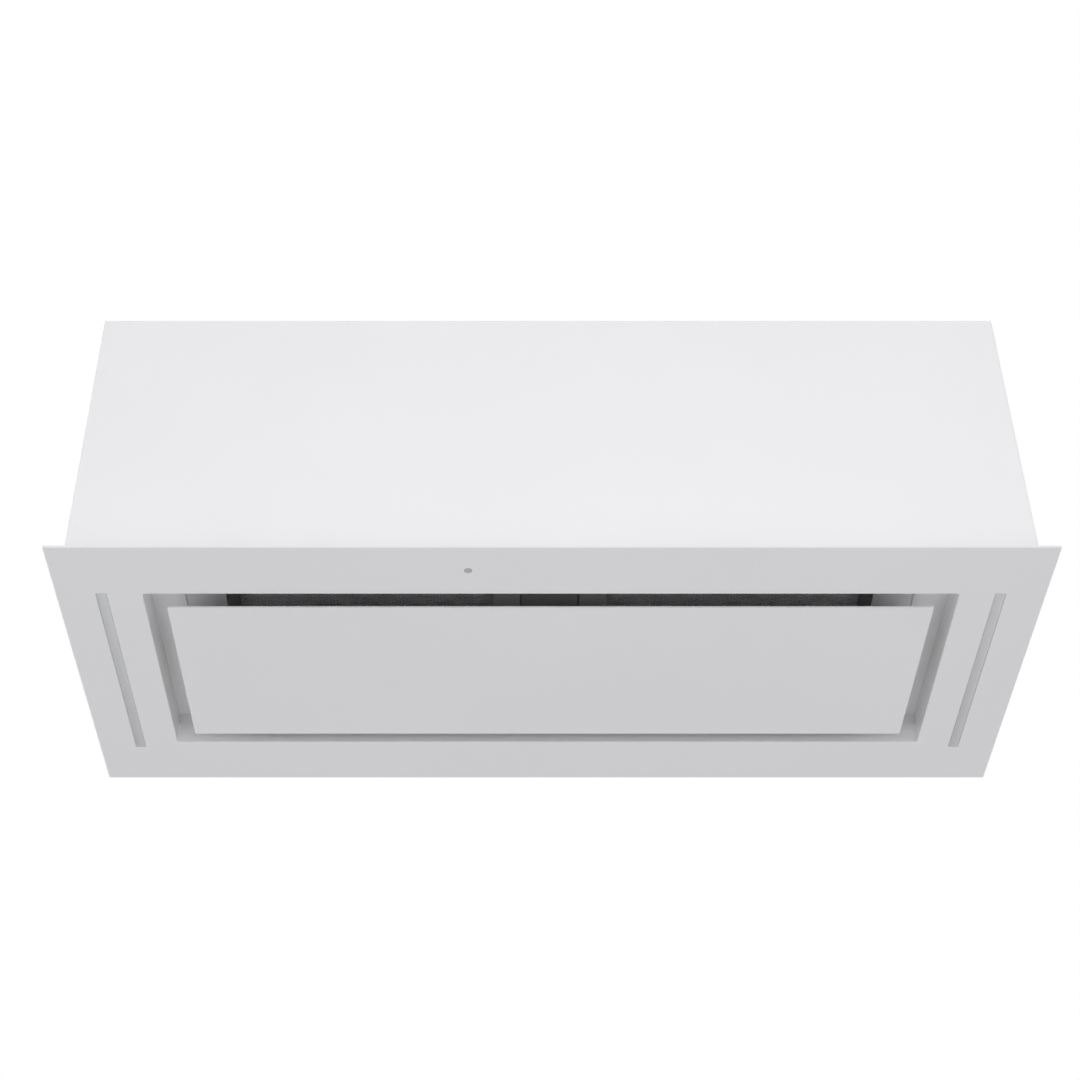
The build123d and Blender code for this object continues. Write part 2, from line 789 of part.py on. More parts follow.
def filter_frame():
    """Right filter's frame, with the two pegs that it turns on."""
    z1 = filter_z + filter_thk
    frame = block(filter_x0, filter_x1, filter_front_y, filter_rear_y, filter_z, z1)
    x0 = filter_x0 + frame_inner_bar
    x1 = filter_x1 - frame_bar
    frame -= block(x0, x1, filter_front_y + frame_bar, filter_rear_y - frame_bar, filter_z - 1, z1 + 1)
    frame += rod_x(filter_x0 - peg_out, filter_x0, peg_y, peg_axis_z, peg_r)
    return frame + rod_x(filter_x1, filter_x1 + peg_out, peg_y, peg_axis_z, peg_r)


def filter_mesh():
    """Right filter's net: one plate with rows of diamond openings."""
    x0 = filter_x0 + frame_inner_bar
    x1 = filter_x1 - frame_bar
    y0 = filter_front_y + frame_bar
    y1 = filter_rear_y - frame_bar
    pitch_x = (x1 - x0) / mesh_columns
    pitch_y = (y1 - y0) / mesh_rows
    half_x = pitch_x / 2 - mesh_strand / 2
    half_y = pitch_y / 2 - mesh_strand / 2
    diamond = make_face(Polyline((-half_x, 0), (0, -half_y), (half_x, 0), (0, half_y), close=True))
    net = Rectangle(x1 - x0, y1 - y0) - GridLocations(pitch_x, pitch_y, mesh_columns, mesh_rows) * diamond
    return extrude(Pos((x0 + x1) / 2, (y0 + y1) / 2, filter_z + mesh_z) * net, amount=mesh_thk)


def filter_pull():
    """Right filter's pull: a folded strip below its front bar."""
    x0 = (filter_x0 + filter_x1 - pull_w) / 2
    y0 = filter_front_y + 1
    y1 = filter_front_y + frame_bar - 1
    pull = block(x0, x0 + pull_w, y0, y1, filter_z - pull_thk, filter_z)
    pull += block(x0, x0 + pull_w, y1 - pull_thk, y1, filter_z - pull_drop, filter_z)
    return pull + block(x0, x0 + pull_w, y0 + pull_thk, y1, filter_z - pull_drop, filter_z - pull_drop + pull_thk)


# ---- duct outlet ----
def outlet_collar():
    """Square flange, round spigot and the inner ledge that the flaps close on."""
    half = collar_flange / 2
    z0 = housing_top
    flange = block(-half, half, collar_y - half, collar_y + half, z0, z0 + collar_flange_thk)
    collar = flange + rod_z(0, collar_y, z0, z0 + collar_h, collar_r)
    collar -= rod_z(0, collar_y, z0 - 1, z0 + collar_h + 1, collar_bore)
    ring_bore = collar_bore - ledge_ring_w
    collar += tube_z(0, collar_y, z0 + ledge_ring_z, ledge_top, collar_bore, ring_bore)
    collar -= rod_x(-collar_r - 1, collar_r + 1, collar_y, flap_axis_z, flap_pin_r + press_clear)
    for x, y in collar_screw_places():
        collar -= rod_z(x, y, z0 - 1, z0 + 2 * collar_flange_thk, screw_r + screw_clear)
    return collar


def flap_pin():
    """Rod across the collar that both flaps turn on."""
    return rod_x(-collar_r + 1, collar_r - 1, collar_y, flap_axis_z, flap_pin_r)


def flap(side, centres):
    """One half-round flap; side is -1 for the front one and 1 for the rear one."""
    r = collar_bore - flap_clear
    start = knuckle_r + knuckle_gap
    disc = rod_z(0, collar_y, flap_z, flap_z + flap_thk, r)
    y = sorted((collar_y + side * start, collar_y + side * 2 * r))
    leaf = disc & block(-r, r, y[0], y[1], flap_z, flap_z + flap_thk)
    for x in centres:
        x0 = x - knuckle_w / 2
        x1 = x + knuckle_w / 2
        web = sorted((collar_y, collar_y + side * (start + knuckle_gap)))
        leaf += rod_x(x0, x1, collar_y, flap_axis_z, knuckle_r)
        leaf += block(x0, x1, web[0], web[1], flap_z, flap_z + flap_thk)
        leaf -= rod_x(x0 - 1, x1 + 1, collar_y, flap_axis_z, flap_pin_r + run_clear)
    return leaf


def flap_front():
    """Flap on the viewer's side."""
    return flap(-1, (-knuckle_xs[1], knuckle_xs[0]))


def flap_rear():
    """Flap on the wall side."""
    return flap(1, (-knuckle_xs[0], knuckle_xs[1]))


# ---- blower ----
def scroll_radius(angle):
    """The scroll's inner radius, growing steadily from the cut-off to the throat."""
    return scroll_r0 + scroll_growth * (angle - cutoff) / (2 * math.pi - cutoff)


def scroll_outline(margin):
    """Outline of the scroll and its throat in (y, z), grown by a margin."""
    start = cutoff
    for _ in range(20):
        start = math.acos((throat_y0 - margin - fan_y) / (scroll_radius(start) + margin))
    steps = 16
    angles = [start + (2 * math.pi - start) * i / steps for i in range(steps + 1)]
    points = []
    for angle in angles:
        r = scroll_radius(angle) + margin
        points.append((fan_y + r * math.cos(angle), fan_z + r * math.sin(angle)))
    wall_y = throat_y1 + margin
    lines = Spline(*points) + Polyline(points[-1], (wall_y, top_under), (throat_y0 - margin, top_under), points[0])
    return make_face(lines)


def blower_scroll():
    """The bent wrap of the scroll between the side plates, open at the throat."""
    shell = along_x(scroll_outline(scroll_thk), -blower_half, blower_half)
    return shell - along_x(scroll_outline(0), -blower_half - 1, blower_half + 1)


def blower_side():
    """Right side plate with its pressed inlet mouth and top flange."""
    plate = along_x(scroll_outline(side_margin), blower_half, side_x)
    lip_x = blower_half - inlet_lip
    plate += rod_x(lip_x, side_x, fan_y, fan_z, inlet_r + inlet_lip_thk)
    plate -= rod_x(lip_x - 1, side_x + 1, fan_y, fan_z, inlet_r)
    y0 = throat_y0 - side_margin
    y1 = throat_y1 + side_margin
    plate += block(side_x, side_x + side_flange, y0, y1, top_under - scroll_thk, top_under)
    for x, y in blower_screw_places():
        plate -= rod_z(x, y, top_under - 2 * scroll_thk, top_under + 1, screw_r + screw_clear)
    return plate


def side_plate_right():
    """Side plate on the motor's side, with holes for the spider's screws."""
    plate = blower_side()
    for y, z in spider_screw_places():
        plate -= rod_x(blower_half - 1, side_x + 1, y, z, screw_r + rivet_clear)
    return plate


def impeller():
    """Double-inlet squirrel cage: centre disc, end rings, hub and curved blades."""
    inner_r = fan_r - blade_depth
    cage = rod_x(-disc_half, disc_half, fan_y, fan_z, fan_r)
    for side in (-1, 1):
        x = sorted((side * fan_half, side * (fan_half - end_ring_thk)))
        cage += tube_x(x[0], x[1], fan_y, fan_z, fan_r, inner_r)
    cage += rod_x(-hub_half, hub_half, fan_y, fan_z, hub_r)
    bow = blade_depth / 4
    blades = []
    root = (inner_r + blade_thk, 0)
    tip = (fan_r - blade_thk, 0)
    middle = ((inner_r + fan_r) / 2, bow)
    path = ThreePointArc(root, middle, tip)
    lower = ThreePointArc((root[0], -blade_thk), (middle[0], bow - blade_thk), (tip[0], -blade_thk))
    section = make_face(path + lower + Line(root, (root[0], -blade_thk)) + Line(tip, (tip[0], -blade_thk)))
    for i in range(blade_count):
        turned = Rot(0, 0, 360 * i / blade_count) * section
        blades.append(along_x(Pos(fan_y, fan_z) * turned, -fan_half + end_ring_thk / 2, fan_half - end_ring_thk / 2))
    cage = cage.fuse(*blades)
    return cage - rod_x(-hub_half - 1, hub_half + 1, fan_y, fan_z, shaft_r + press_clear)


# ---- motor ----
def motor_shell(x_end, x_joint):
    """One cup of the motor's shell, from its end wall to the joint, with a bearing seat."""
    into = 1 if x_joint > x_end else -1
    x0 = min(x_end, x_joint)
    x1 = max(x_end, x_joint)
    cup = rod_x(x0, x1, fan_y, fan_z, motor_r)
    inside = sorted((x_end + into * motor_wall, x_joint + into))
    cup -= rod_x(inside[0], inside[1], fan_y, fan_z, motor_r - motor_wall)
    seat = sorted((x_end + into * motor_wall, x_end + into * (motor_wall + bearing_w)))
    return cup + tube_x(seat[0], seat[1], fan_y, fan_z, bearing_r + bearing_seat, bearing_r)


def motor_shell_inner():
    """The cup on the impeller's side, which the shaft comes out of."""
    cup = motor_shell(motor_x0, stator_x)
    return cup - rod_x(motor_x0 - 1, motor_x0 + motor_wall + 1, fan_y, fan_z, shaft_r + shaft_hole_clear)


def motor_shell_outer():
    """The cup on the spider's side, with the holes of its screws."""
    cup = motor_shell(motor_x1, stator_x)
    for y, z in motor_screw_places():
        cup -= rod_x(motor_x1 - motor_wall - 1, motor_x1 + 1, y, z, rivet_r + rivet_clear)
    return cup


def motor_stator():
    """Stator core that fills the shell, with its winding heads."""
    core = tube_x(stator_x - stator_half, stator_x + stator_half, fan_y, fan_z, motor_r - motor_wall, stator_bore)
    end = stator_half + winding_w
    return core + tube_x(stator_x - end, stator_x + end, fan_y, fan_z, winding_r, stator_bore + 1)


def motor_bearings():
    """Two ball bearings, as closed rings."""
    rings = []
    for x0 in (motor_x0 + motor_wall, motor_x1 - motor_wall - bearing_w):
        rings.append(tube_x(x0, x0 + bearing_w, fan_y, fan_z, bearing_r, shaft_r + run_clear))
    return group(rings)


def motor_shaft():
    """Shaft from the impeller's hub through both bearings."""
    return rod_x(shaft_start, motor_x1 - motor_wall - flap_rest_gap, fan_y, fan_z, shaft_r)


def motor_rotor():
    """Rotor core pressed on the shaft."""
    r = stator_bore - rotor_air
    return tube_x(stator_x - stator_half, stator_x + stator_half, fan_y, fan_z, r, shaft_r + press_clear)


def spider_angles():
    """Directions of the spider's three arms."""
    return [90, 210, 330]


def spider_screw_places():
    """Where the spider's arms meet the side plate, as (y, z)."""
    places = []
    for degrees in spider_angles():
        a = math.radians(degrees)
        places.append((fan_y + spider_screw_r * math.cos(a), fan_z + spider_screw_r * math.sin(a)))
    return places


def motor_screw_places():
    """Where the motor is screwed to the spider's hub, as (y, z)."""
    places = []
    for degrees in spider_angles():
        a = math.radians(degrees)
        places.append((fan_y + motor_screw_pitch_r * math.cos(a), fan_z + motor_screw_pitch_r * math.sin(a)))
    return places


def motor_spider():
    """Three-armed plate that carries the motor in the right inlet."""
    x1 = spider_x + spider_thk
    spider = rod_x(spider_x, x1, fan_y, fan_z, spider_hub_r)
    for degrees in spider_angles():
        arm = outline_of([(0, -spider_arm_w / 2), (spider_reach, -spider_arm_w / 2),
                          (spider_reach, spider_arm_w / 2), (0, spider_arm_w / 2)])
        spider += along_x(Pos(fan_y, fan_z) * Rot(0, 0, degrees) * arm, spider_x, x1)
    for y, z in spider_screw_places():
        spider -= rod_x(spider_x - 1, x1 + 1, y, z, screw_r + screw_clear)
    for y, z in motor_screw_places():
        spider -= rod_x(spider_x - 1, x1 + 1, y, z, rivet_r + rivet_clear)
    return spider


def motor_bushes():
    """Rubber bushes between the side plate and the spider's arms."""
    return group([tube_x(side_x, spider_x, y, z, bush_r, screw_r + screw_clear) for y, z in spider_screw_places()])


def motor_screws():
    """Screws through the arms into the side plate, and through the hub into the motor."""
    x1 = spider_x + spider_thk
    solids = []
    for y, z in spider_screw_places():
        shank = rod_x(x1 - screw_len, x1, y, z, screw_r)
        solids.append(shank + rod_x(x1, x1 + screw_head_h, y, z, screw_head_r))
    for y, z in motor_screw_places():
        shank = rod_x(x1 - screw_len / 2, x1, y, z, rivet_r)
        solids.append(shank + rod_x(x1, x1 + screw_head_h, y, z, screw_head_r))
    return group(solids)


# ---- electrics ----
def control_box():
    """Box that hangs from the housing's top, open below, with corner bosses."""
    box = block(box_x0, box_x1, box_y0, box_y1, box_under, top_under)
    t = box_thk
    box -= block(box_x0 + t, box_x1 - t, box_y0 + t, box_y1 - t, box_under - 1, top_under - t)
    for x, y in box_boss_places():
        box += rod_z(x, y, box_under, box_under + box_boss_h, box_boss_r)
        box -= rod_z(x, y, box_under - 1, box_under + box_boss_h - t, screw_r + press_clear)
    for x, y in box_rivet_places():
        box -= rod_z(x, y, top_under - 2 * t, top_under + 1, rivet_r + rivet_clear)
    return box - rod_z(grommet_x, grommet_y, top_under - 2 * t, top_under + 1, grommet_r)


def control_box_cover():
    """Flat cover under the control box."""
    cover = block(box_x0, box_x1, box_y0, box_y1, box_under - box_thk, box_under)
    for x, y in box_boss_places():
        cover -= rod_z(x, y, box_under - 2 * box_thk, box_under + 1, screw_r + screw_clear)
    return cover


def control_board():
    """Circuit board with its four posts, below the box's back."""
    z1 = top_under - box_thk - pcb_drop
    z0 = z1 - pcb_thk
    x0 = box_x0 + 2 * pcb_margin
    x1 = box_x1 - pcb_margin
    y0 = box_y0 + pcb_margin
    y1 = grommet_y - grommet_r - 2 * grommet_lip
    board = block(x0, x1, y0, y1, z0, z1)
    for x in (x0 + post_r, x1 - post_r):
        for y in (y0 + 4 * post_r, y1 - post_r):
            board += rod_z(x, y, z1, top_under - box_thk, post_r)
    relay = 4 * post_r
    return board + block(x0 + relay, x0 + 2 * relay, y0 + relay, y0 + 3 * relay, z0 - relay, z0)


def terminal_block():
    """Terminal block for the mains lead, below the board."""
    z1 = top_under - box_thk - pcb_drop - pcb_thk
    x1 = box_x1 - pcb_margin - 2 * post_r
    y0 = box_y0 + pcb_margin + 2 * post_r
    body = block(x1 - terminal_w, x1, y0, y0 + terminal_d, z1 - terminal_h, z1)
    for i in range(3):
        x = x1 - terminal_w + (i + 0.5) * terminal_w / 3
        body -= rod_z(x, y0 + terminal_d / 2, z1 - terminal_h - 1, z1 - terminal_h / 2, screw_r)
    return body


def led_driver():
    """Supply for the light strips, on the cover."""
    x0 = box_x0 + pcb_margin
    y0 = box_y0 + pcb_margin
    driver = block(x0, x0 + driver_w, y0, y0 + driver_d, box_under, box_under + driver_h)
    return fillet(driver.edges().filter_by(Axis.Z), 2 * box_thk)


def run_capacitor():
    """The motor's capacitor, lying on the cover."""
    x0 = box_x0 + pcb_margin
    y = box_y0 + pcb_margin + driver_d + capacitor_r + pcb_thk
    z = box_under + capacitor_r + part_gap
    can = rod_x(x0, x0 + capacitor_len, y, z, capacitor_r)
    return can + rod_x(x0 + capacitor_len, x0 + capacitor_len + 2 * screw_head_h, y, z, screw_head_r)


def cable_grommet():
    """Rubber grommet in the cable entry, through the housing's top and the box's back."""
    z0 = top_under - box_thk
    lip_r = grommet_r + grommet_lip
    ring = rod_z(grommet_x, grommet_y, z0, housing_top, grommet_r)
    ring += rod_z(grommet_x, grommet_y, housing_top, housing_top + grommet_lip_h, lip_r)
    ring += rod_z(grommet_x, grommet_y, z0 - grommet_lip_h, z0, lip_r)
    return ring - rod_z(grommet_x, grommet_y, z0 - 2 * grommet_lip_h, housing_top + 2 * grommet_lip_h, cable_r)


def sheet_screws():
    """Pan-head screws: collar, blower, carrier and control box cover."""
    down = rod_z(0, 0, -screw_len, 0, screw_r) + rod_z(0, 0, 0, screw_head_h, screw_head_r)
    grip = scroll_thk + sheet_thk
    flush = rod_z(0, 0, 0, grip, screw_r) + rod_z(0, 0, -screw_head_h, 0, screw_head_r)
    up = rod_z(0, 0, 0, screw_len, screw_r) + rod_z(0, 0, -screw_head_h, 0, screw_head_r)
    short = rod_z(0, 0, -screw_len / 2, 0, screw_r) + rod_z(0, 0, 0, screw_head_h, screw_head_r)
    solids = [Pos(x, y, housing_top + collar_flange_thk) * down for x, y in collar_screw_places()]
    solids += [Pos(x, y, top_under - scroll_thk) * flush for x, y in blower_screw_places()]
    solids += [Pos(x, y, carrier_top) * short for x, y in carrier_screw_places()]
    solids += [Pos(x, y, box_under - box_thk) * up for x, y in box_boss_places()]
    return group(solids)


def mirrored(shape):
    """The left-hand twin of a right-hand piece."""
    return mirror(shape, about=Plane.YZ)


def main():
    os.makedirs("parts", exist_ok=True)
    save("fascia_frame", fascia_frame())
    save("fascia_nuts", fascia_nuts())
    save("housing_wrapper", housing_wrapper())
    save("end_plate_right", end_plate())
    save("end_plate_left", mirrored(end_plate()))
    save("housing_rivets", housing_rivets())
    save("inner_tray", inner_tray())
    save("hanger_rail_right", hanger_rail())
    save("hanger_rail_left", mirrored(hanger_rail()))
    save("rail_rivets", rail_rivets())
    save("led_lens_right", led_lens())
    save("led_lens_left", mirrored(led_lens()))
    save("led_channel_right", led_channel())
    save("led_channel_left", mirrored(led_channel()))
    save("led_boards", led_boards())
    save("receiver_window", receiver_window())
    save("receiver_board", receiver_board())
    save("panel_skin", panel_skin())
    save("panel_tray", panel_tray())
    save("panel_hinge_ears", panel_hinge_ears())
    save("panel_hinge_pins", panel_hinge_pins())
    save("hinge_brackets", hinge_brackets())
    save("catch_brackets", catch_brackets())
    save("catch_magnets", catch_magnets())
    save("filter_carrier", filter_carrier())
    save("filter_hooks", filter_hooks())
    save("filter_clips_right", filter_clips(1))
    save("filter_clips_left", filter_clips(-1))
    save("filter_frame_right", filter_frame())
    save("filter_frame_left", mirrored(filter_frame()))
    save("filter_mesh_right", filter_mesh())
    save("filter_mesh_left", mirrored(filter_mesh()))
    save("filter_pull_right", filter_pull())
    save("filter_pull_left", mirrored(filter_pull()))
    save("outlet_collar", outlet_collar())
    save("flap_pin", flap_pin())
    save("flap_front", flap_front())
    save("flap_rear", flap_rear())
    save("blower_scroll", blower_scroll())
    save("blower_side_right", side_plate_right())
    save("blower_side_left", mirrored(blower_side()))
    save("impeller", impeller())
    save("motor_shaft", motor_shaft())
    save("motor_rotor", motor_rotor())
    save("motor_stator", motor_stator())
    save("motor_shell_inner", motor_shell_inner())
    save("motor_shell_outer", motor_shell_outer())
    save("motor_bearings", motor_bearings())
    save("motor_spider", motor_spider())
    save("motor_bushes", motor_bushes())
    save("motor_screws", motor_screws())
    save("control_box", control_box())
    save("control_box_cover", control_box_cover())
    save("control_board", control_board())
    save("terminal_block", terminal_block())
    save("led_driver", led_driver())
    save("run_capacitor", run_capacitor())
    save("cable_grommet", cable_grommet())
    save("sheet_screws", sheet_screws())


main()
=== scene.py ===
import json
import math

import bmesh
import bpy
from mathutils import Matrix, Vector

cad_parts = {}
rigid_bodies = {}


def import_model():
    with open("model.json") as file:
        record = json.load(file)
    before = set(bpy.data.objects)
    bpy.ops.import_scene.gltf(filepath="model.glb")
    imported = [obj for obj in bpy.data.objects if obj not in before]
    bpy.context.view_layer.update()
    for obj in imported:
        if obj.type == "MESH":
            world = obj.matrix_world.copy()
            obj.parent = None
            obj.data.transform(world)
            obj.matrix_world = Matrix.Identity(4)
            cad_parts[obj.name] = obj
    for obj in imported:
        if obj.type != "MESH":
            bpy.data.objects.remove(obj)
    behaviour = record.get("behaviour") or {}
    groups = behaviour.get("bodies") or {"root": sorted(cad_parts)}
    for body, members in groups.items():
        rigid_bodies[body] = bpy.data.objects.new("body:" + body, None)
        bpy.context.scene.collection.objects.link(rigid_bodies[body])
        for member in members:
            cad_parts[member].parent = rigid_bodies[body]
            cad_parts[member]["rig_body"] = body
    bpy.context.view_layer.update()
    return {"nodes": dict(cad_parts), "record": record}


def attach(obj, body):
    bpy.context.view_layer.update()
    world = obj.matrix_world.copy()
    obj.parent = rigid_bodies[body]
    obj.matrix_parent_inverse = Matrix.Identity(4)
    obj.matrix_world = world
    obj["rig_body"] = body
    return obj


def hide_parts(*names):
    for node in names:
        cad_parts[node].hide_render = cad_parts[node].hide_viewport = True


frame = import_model()

# Ceiling range hood, seen from below and in front. Sizes are in millimetres, and the helpers
# turn them into Blender's metres. X runs along the hood, Y to its rear, and Z up from the
# fascia's underside.
MM = 0.001
NEAR = 0.01               # two lengths this close are the same
SLACK = 0.05              # room when edges are chosen by their place
PAST = 5.0                # how far a cutter reaches past the sheet

# ---- fascia and opening ----
FASCIA_X = 450.0
FASCIA_Y = 190.0
FASCIA_THK = 1.5
HEM_W = 8.0
HEM_ROUND = 1.35
OPEN_X = 371.0
OPEN_Y = 122.5
OPEN_CORNER = 3.0
MOUTH_ROUND = 0.9
RETURN_H = 22.0
RETURN_FOOT = 0.1         # the flange starts inside the sheet
SLOT_CLEAR = 0.25
SLOT_CORNER = 0.8
STUDS = [(sx * x, sy * 169.0) for sx in (-1, 1) for x in (110.0, 330.0) for sy in (-1, 1)]
STUDS += [(sx * 429.0, sy * 90.0) for sx in (-1, 1) for sy in (-1, 1)]
STUD_R = 2.0
STUD_TOP = 10.5
SUNK = 0.2                # how deep a part that is joined on starts in its neighbour

# ---- housing ----
HOUSING_Y = 174.5
HOUSING_TOP = 298.0
HOUSING_MIDDLE = 100.0    # edges above this height are the upper folds
WRAP_X = 433.5
SHEET = 1.0
FOLD_R = 2.2
FOOT_FOLD_R = 1.2
BOTTOM_FLANGE = 10.0
END_EDGE = 0.35

# ---- light strips and receiver ----
LED_X = 408.5
LED_Y = 4.0
LED_HALF_W = 4.75
LED_HALF_LEN = 127.0
LED_CORNER = 0.8
LED_EDGE = 0.35
LED_LIP = 1.75
LED_LIP_CORNER = 1.2
LED_LIP_TOP = 3.0
LED_STUD = 137.25
CHANNEL_STUDS = [(sx * LED_X, LED_Y + sy * LED_STUD) for sx in (-1, 1) for sy in (-1, 1)]
RECEIVER = (-74.6, -157.0)
RECEIVER_R = 3.5
RECEIVER_EDGE = 0.5
RECEIVER_LIP = 2.0

# ---- suction panel ----
PANEL_X = 351.5
PANEL_Y0 = -101.5
PANEL_Y1 = 108.0
PANEL_RIM = 2.0
PANEL_THK = 1.2
PANEL_CORNER = 1.6
PANEL_EDGE = 0.9
PAN_CORNER = 0.5

# ---- filters ----
FILTER_X0 = 27.5
FILTER_X1 = 302.5
FILTER_Y0 = -99.0
FILTER_Y1 = 112.0
FRAME_BAR = 11.0
FRAME_INNER_BAR = 26.0
FRAME_EDGE = 0.7
PULL_EDGE = 0.3
NET_Z0 = 39.5
NET_Z1 = 41.5
NET_PITCH_X = 6.0
NET_PITCH_Y = 4.2
NET_FEWER = (7, 5)        # the upper net is coarser by so many columns and rows
STRAND = 1.0

# ---- duct outlet ----
COLLAR_Y = 46.0
COLLAR_BORE = 72.5
COLLAR_FLANGE_TOP = 301.0

# ---- fasteners: places and seats ----
SCREW_R = 2.0
SCREW_HEAD_R = 4.0
SCREW_HEAD_H = 2.2
SCREW_PITCH = 1.2
RECESS_DEPTH = 1.3
RECESS_REACH = 2.1
RECESS_HALF_W = 0.45
RECESS_R = 1.25
# shares: how far a head's dome draws in and how high its rim is, a rivet's bore and its broken
# pin, a thread's core and a screw's flat tip
DOME_DRAW = 0.42
DOME_RIM = 0.25
RIVET_BORE = 0.62
RIVET_PIN = 0.42
THREAD_CORE = 0.8
SCREW_TIP = 0.6
RIVET_DEPTH = 0.55
PIN_FOOT = 0.15
PIN_H = 0.45
# rivets: radius of the shank, radius and height of the head, grip, radius of the set tail
END_RIVET = (1.6, 3.2, 1.0, 2.0, 2.4)
BOX_RIVET = (1.6, 3.2, 1.0, 2.2, 2.4)
RAIL_RIVET = (2.4, 5.0, 2.0, 3.5, 3.4)
RIVET_TOP = [(sx * 427.5, sy * y) for sx in (-1, 1) for sy in (-1, 1) for y in (60.0, 140.0)]
RIVET_BOX = [(x, y) for x in (136.0, 274.0) for y in (-134.0, -46.0)]
RIVET_REAR = [(sx * 427.5, z) for sx in (-1, 1) for z in (60.0, 150.0, 240.0)]
RIVET_RAIL = [(sx * 350.0 + side * 25.0, sy * 60.0)
              for sx in (-1, 1) for side in (-1, 1) for sy in (-1, 1)]
RAIL_FOOT_TOP = 300.5
SCREW_COLLAR = [(sx * 84.0, COLLAR_Y + sy * 84.0) for sx in (-1, 1) for sy in (-1, 1)]
SCREW_BLOWER = [(sx * 73.0, COLLAR_Y + sy * 49.5) for sx in (-1, 1) for sy in (-1, 1)]
BLOWER_SEAT = 296.0
SCREW_CARRIER = [(sx * 345.5, y) for sx in (-1, 1) for y in (-99.0, 0.0, 99.0)]
CARRIER_TOP = 37.2
SCREW_COVER = [(x, y) for x in (124.0, 286.0) for y in (-146.0, -34.0)]
COVER_SEAT = 243.8

# ---- cable entry ----
CABLE_ENTRY = (205.0, -60.0)
GROMMET_R = 10.0
GROMMET_LIP_R = 13.0
GROMMET_LIP_ROUND = 1.1
GROMMET_SPANS = [(293.3, 295.8), (298.0, 300.5)]
CABLE_R = 4.5
CABLE_FLARE = 0.9


# ---------------------------------------------------------------- helpers for making pieces
def only(piece):
    """Select one piece and nothing else."""
    bpy.ops.object.select_all(action="DESELECT")
    piece.select_set(True)
    bpy.context.view_layer.objects.active = piece


def named(name):
    """Name the piece that was just added, and put its place into its mesh."""
    piece = bpy.context.object
    piece.name = name
    piece.data.name = name
    bpy.ops.object.transform_apply(location=True, rotation=True, scale=True)
    return piece


def add_block(name, low, high):
    """A box between two corners."""
    bpy.ops.object.select_all(action="DESELECT")
    low = Vector(low) * MM
    high = Vector(high) * MM
    bpy.ops.mesh.primitive_cube_add(size=1, location=(low + high) / 2, scale=high - low)
    return named(name)


def add_rod(name, base, length, radius, sides=48, end_radius=None):
    """An upright rod or cone from its base centre."""
    bpy.ops.object.select_all(action="DESELECT")
    middle = (Vector(base) + Vector((0, 0, length / 2))) * MM
    end = radius if end_radius is None else end_radius
    bpy.ops.mesh.primitive_cone_add(vertices=sides, radius1=radius * MM, radius2=end * MM,
                                    depth=length * MM, location=middle)
    return named(name)


def combine(piece, other, how):
    """Add or cut away another solid, which is used up."""
    only(piece)
    step = piece.modifiers.new(how.lower(), "BOOLEAN")
    step.operation = how
    step.solver = "EXACT"
    step.object = other
    bpy.ops.object.modifier_apply(modifier=step.name)
    bpy.data.objects.remove(other)


def cut(piece, *others):
    """Cut the other solids out of the piece."""
    for other in others:
        combine(piece, other, "DIFFERENCE")


def fuse(piece, *others):
    """Join the other solids to the piece."""
    for other in others:
        combine(piece, other, "UNION")


def gather(pieces, name):
    """Make one piece of several separate shells."""
    bpy.ops.object.select_all(action="DESELECT")
    for piece in pieces:
        piece.select_set(True)
    bpy.context.view_layer.objects.active = pieces[0]
    bpy.ops.object.join()
    pieces[0].name = name
    pieces[0].data.name = name
    return pieces[0]


def round_edges(piece, radius, chosen, steps=4):
    """Round the edges whose two ends, in millimetres, pass the test."""
    only(piece)
    bpy.ops.object.mode_set(mode="EDIT")
    bpy.ops.mesh.select_mode(type="EDGE")
    bpy.ops.mesh.select_all(action="DESELECT")
    shape = bmesh.from_edit_mesh(piece.data)
    for edge in shape.edges:
        a, b = (v.co / MM for v in edge.verts)
        edge.select_set(bool(chosen(a, b)))
    bmesh.update_edit_mesh(piece.data)
    bpy.ops.mesh.bevel(offset=radius * MM, segments=steps, affect="EDGES")
    bpy.ops.object.mode_set(mode="OBJECT")


def soften(piece, width, steps=2, angle=40):
    """Break every sharp edge with a small round, and shade the piece."""
    only(piece)
    step = piece.modifiers.new("soften", "BEVEL")
    step.width = width * MM
    step.segments = steps
    step.limit_method = "ANGLE"
    step.angle_limit = math.radians(angle)
    step.use_clamp_overlap = False
    step.loop_slide = False
    bpy.ops.object.modifier_apply(modifier=step.name)
    return smooth(piece)


def smooth(piece, angle=35):
    """Shade the piece smooth except at its sharp edges, and keep its flats flat."""
    only(piece)
    if piece.data.has_custom_normals:
        bpy.ops.mesh.customdata_custom_splitnormals_clear()
    bpy.ops.object.shade_smooth_by_angle(angle=math.radians(angle))
    step = piece.modifiers.new("flat_faces", "WEIGHTED_NORMAL")
    step.keep_sharp = True
    bpy.ops.object.modifier_apply(modifier=step.name)
    return piece


def upright(a, b):
    """True for an edge that runs straight up."""
    return abs(a.x - b.x) < NEAR and abs(a.y - b.y) < NEAR


def lengthwise(a, b):
    """True for an edge that runs along the hood."""
    return abs(a.y - b.y) < NEAR and abs(a.z - b.z) < NEAR


def underside(a, b):
    """True for an edge on the fascia's underside."""
    return abs(a.z) < NEAR and abs(b.z) < NEAR


def copied(piece, name):
    """A copy with its own mesh."""
    other = piece.copy()
    other.data = piece.data.copy()
    other.name = name
    other.data.name = name
    bpy.context.scene.collection.objects.link(other)
    return other


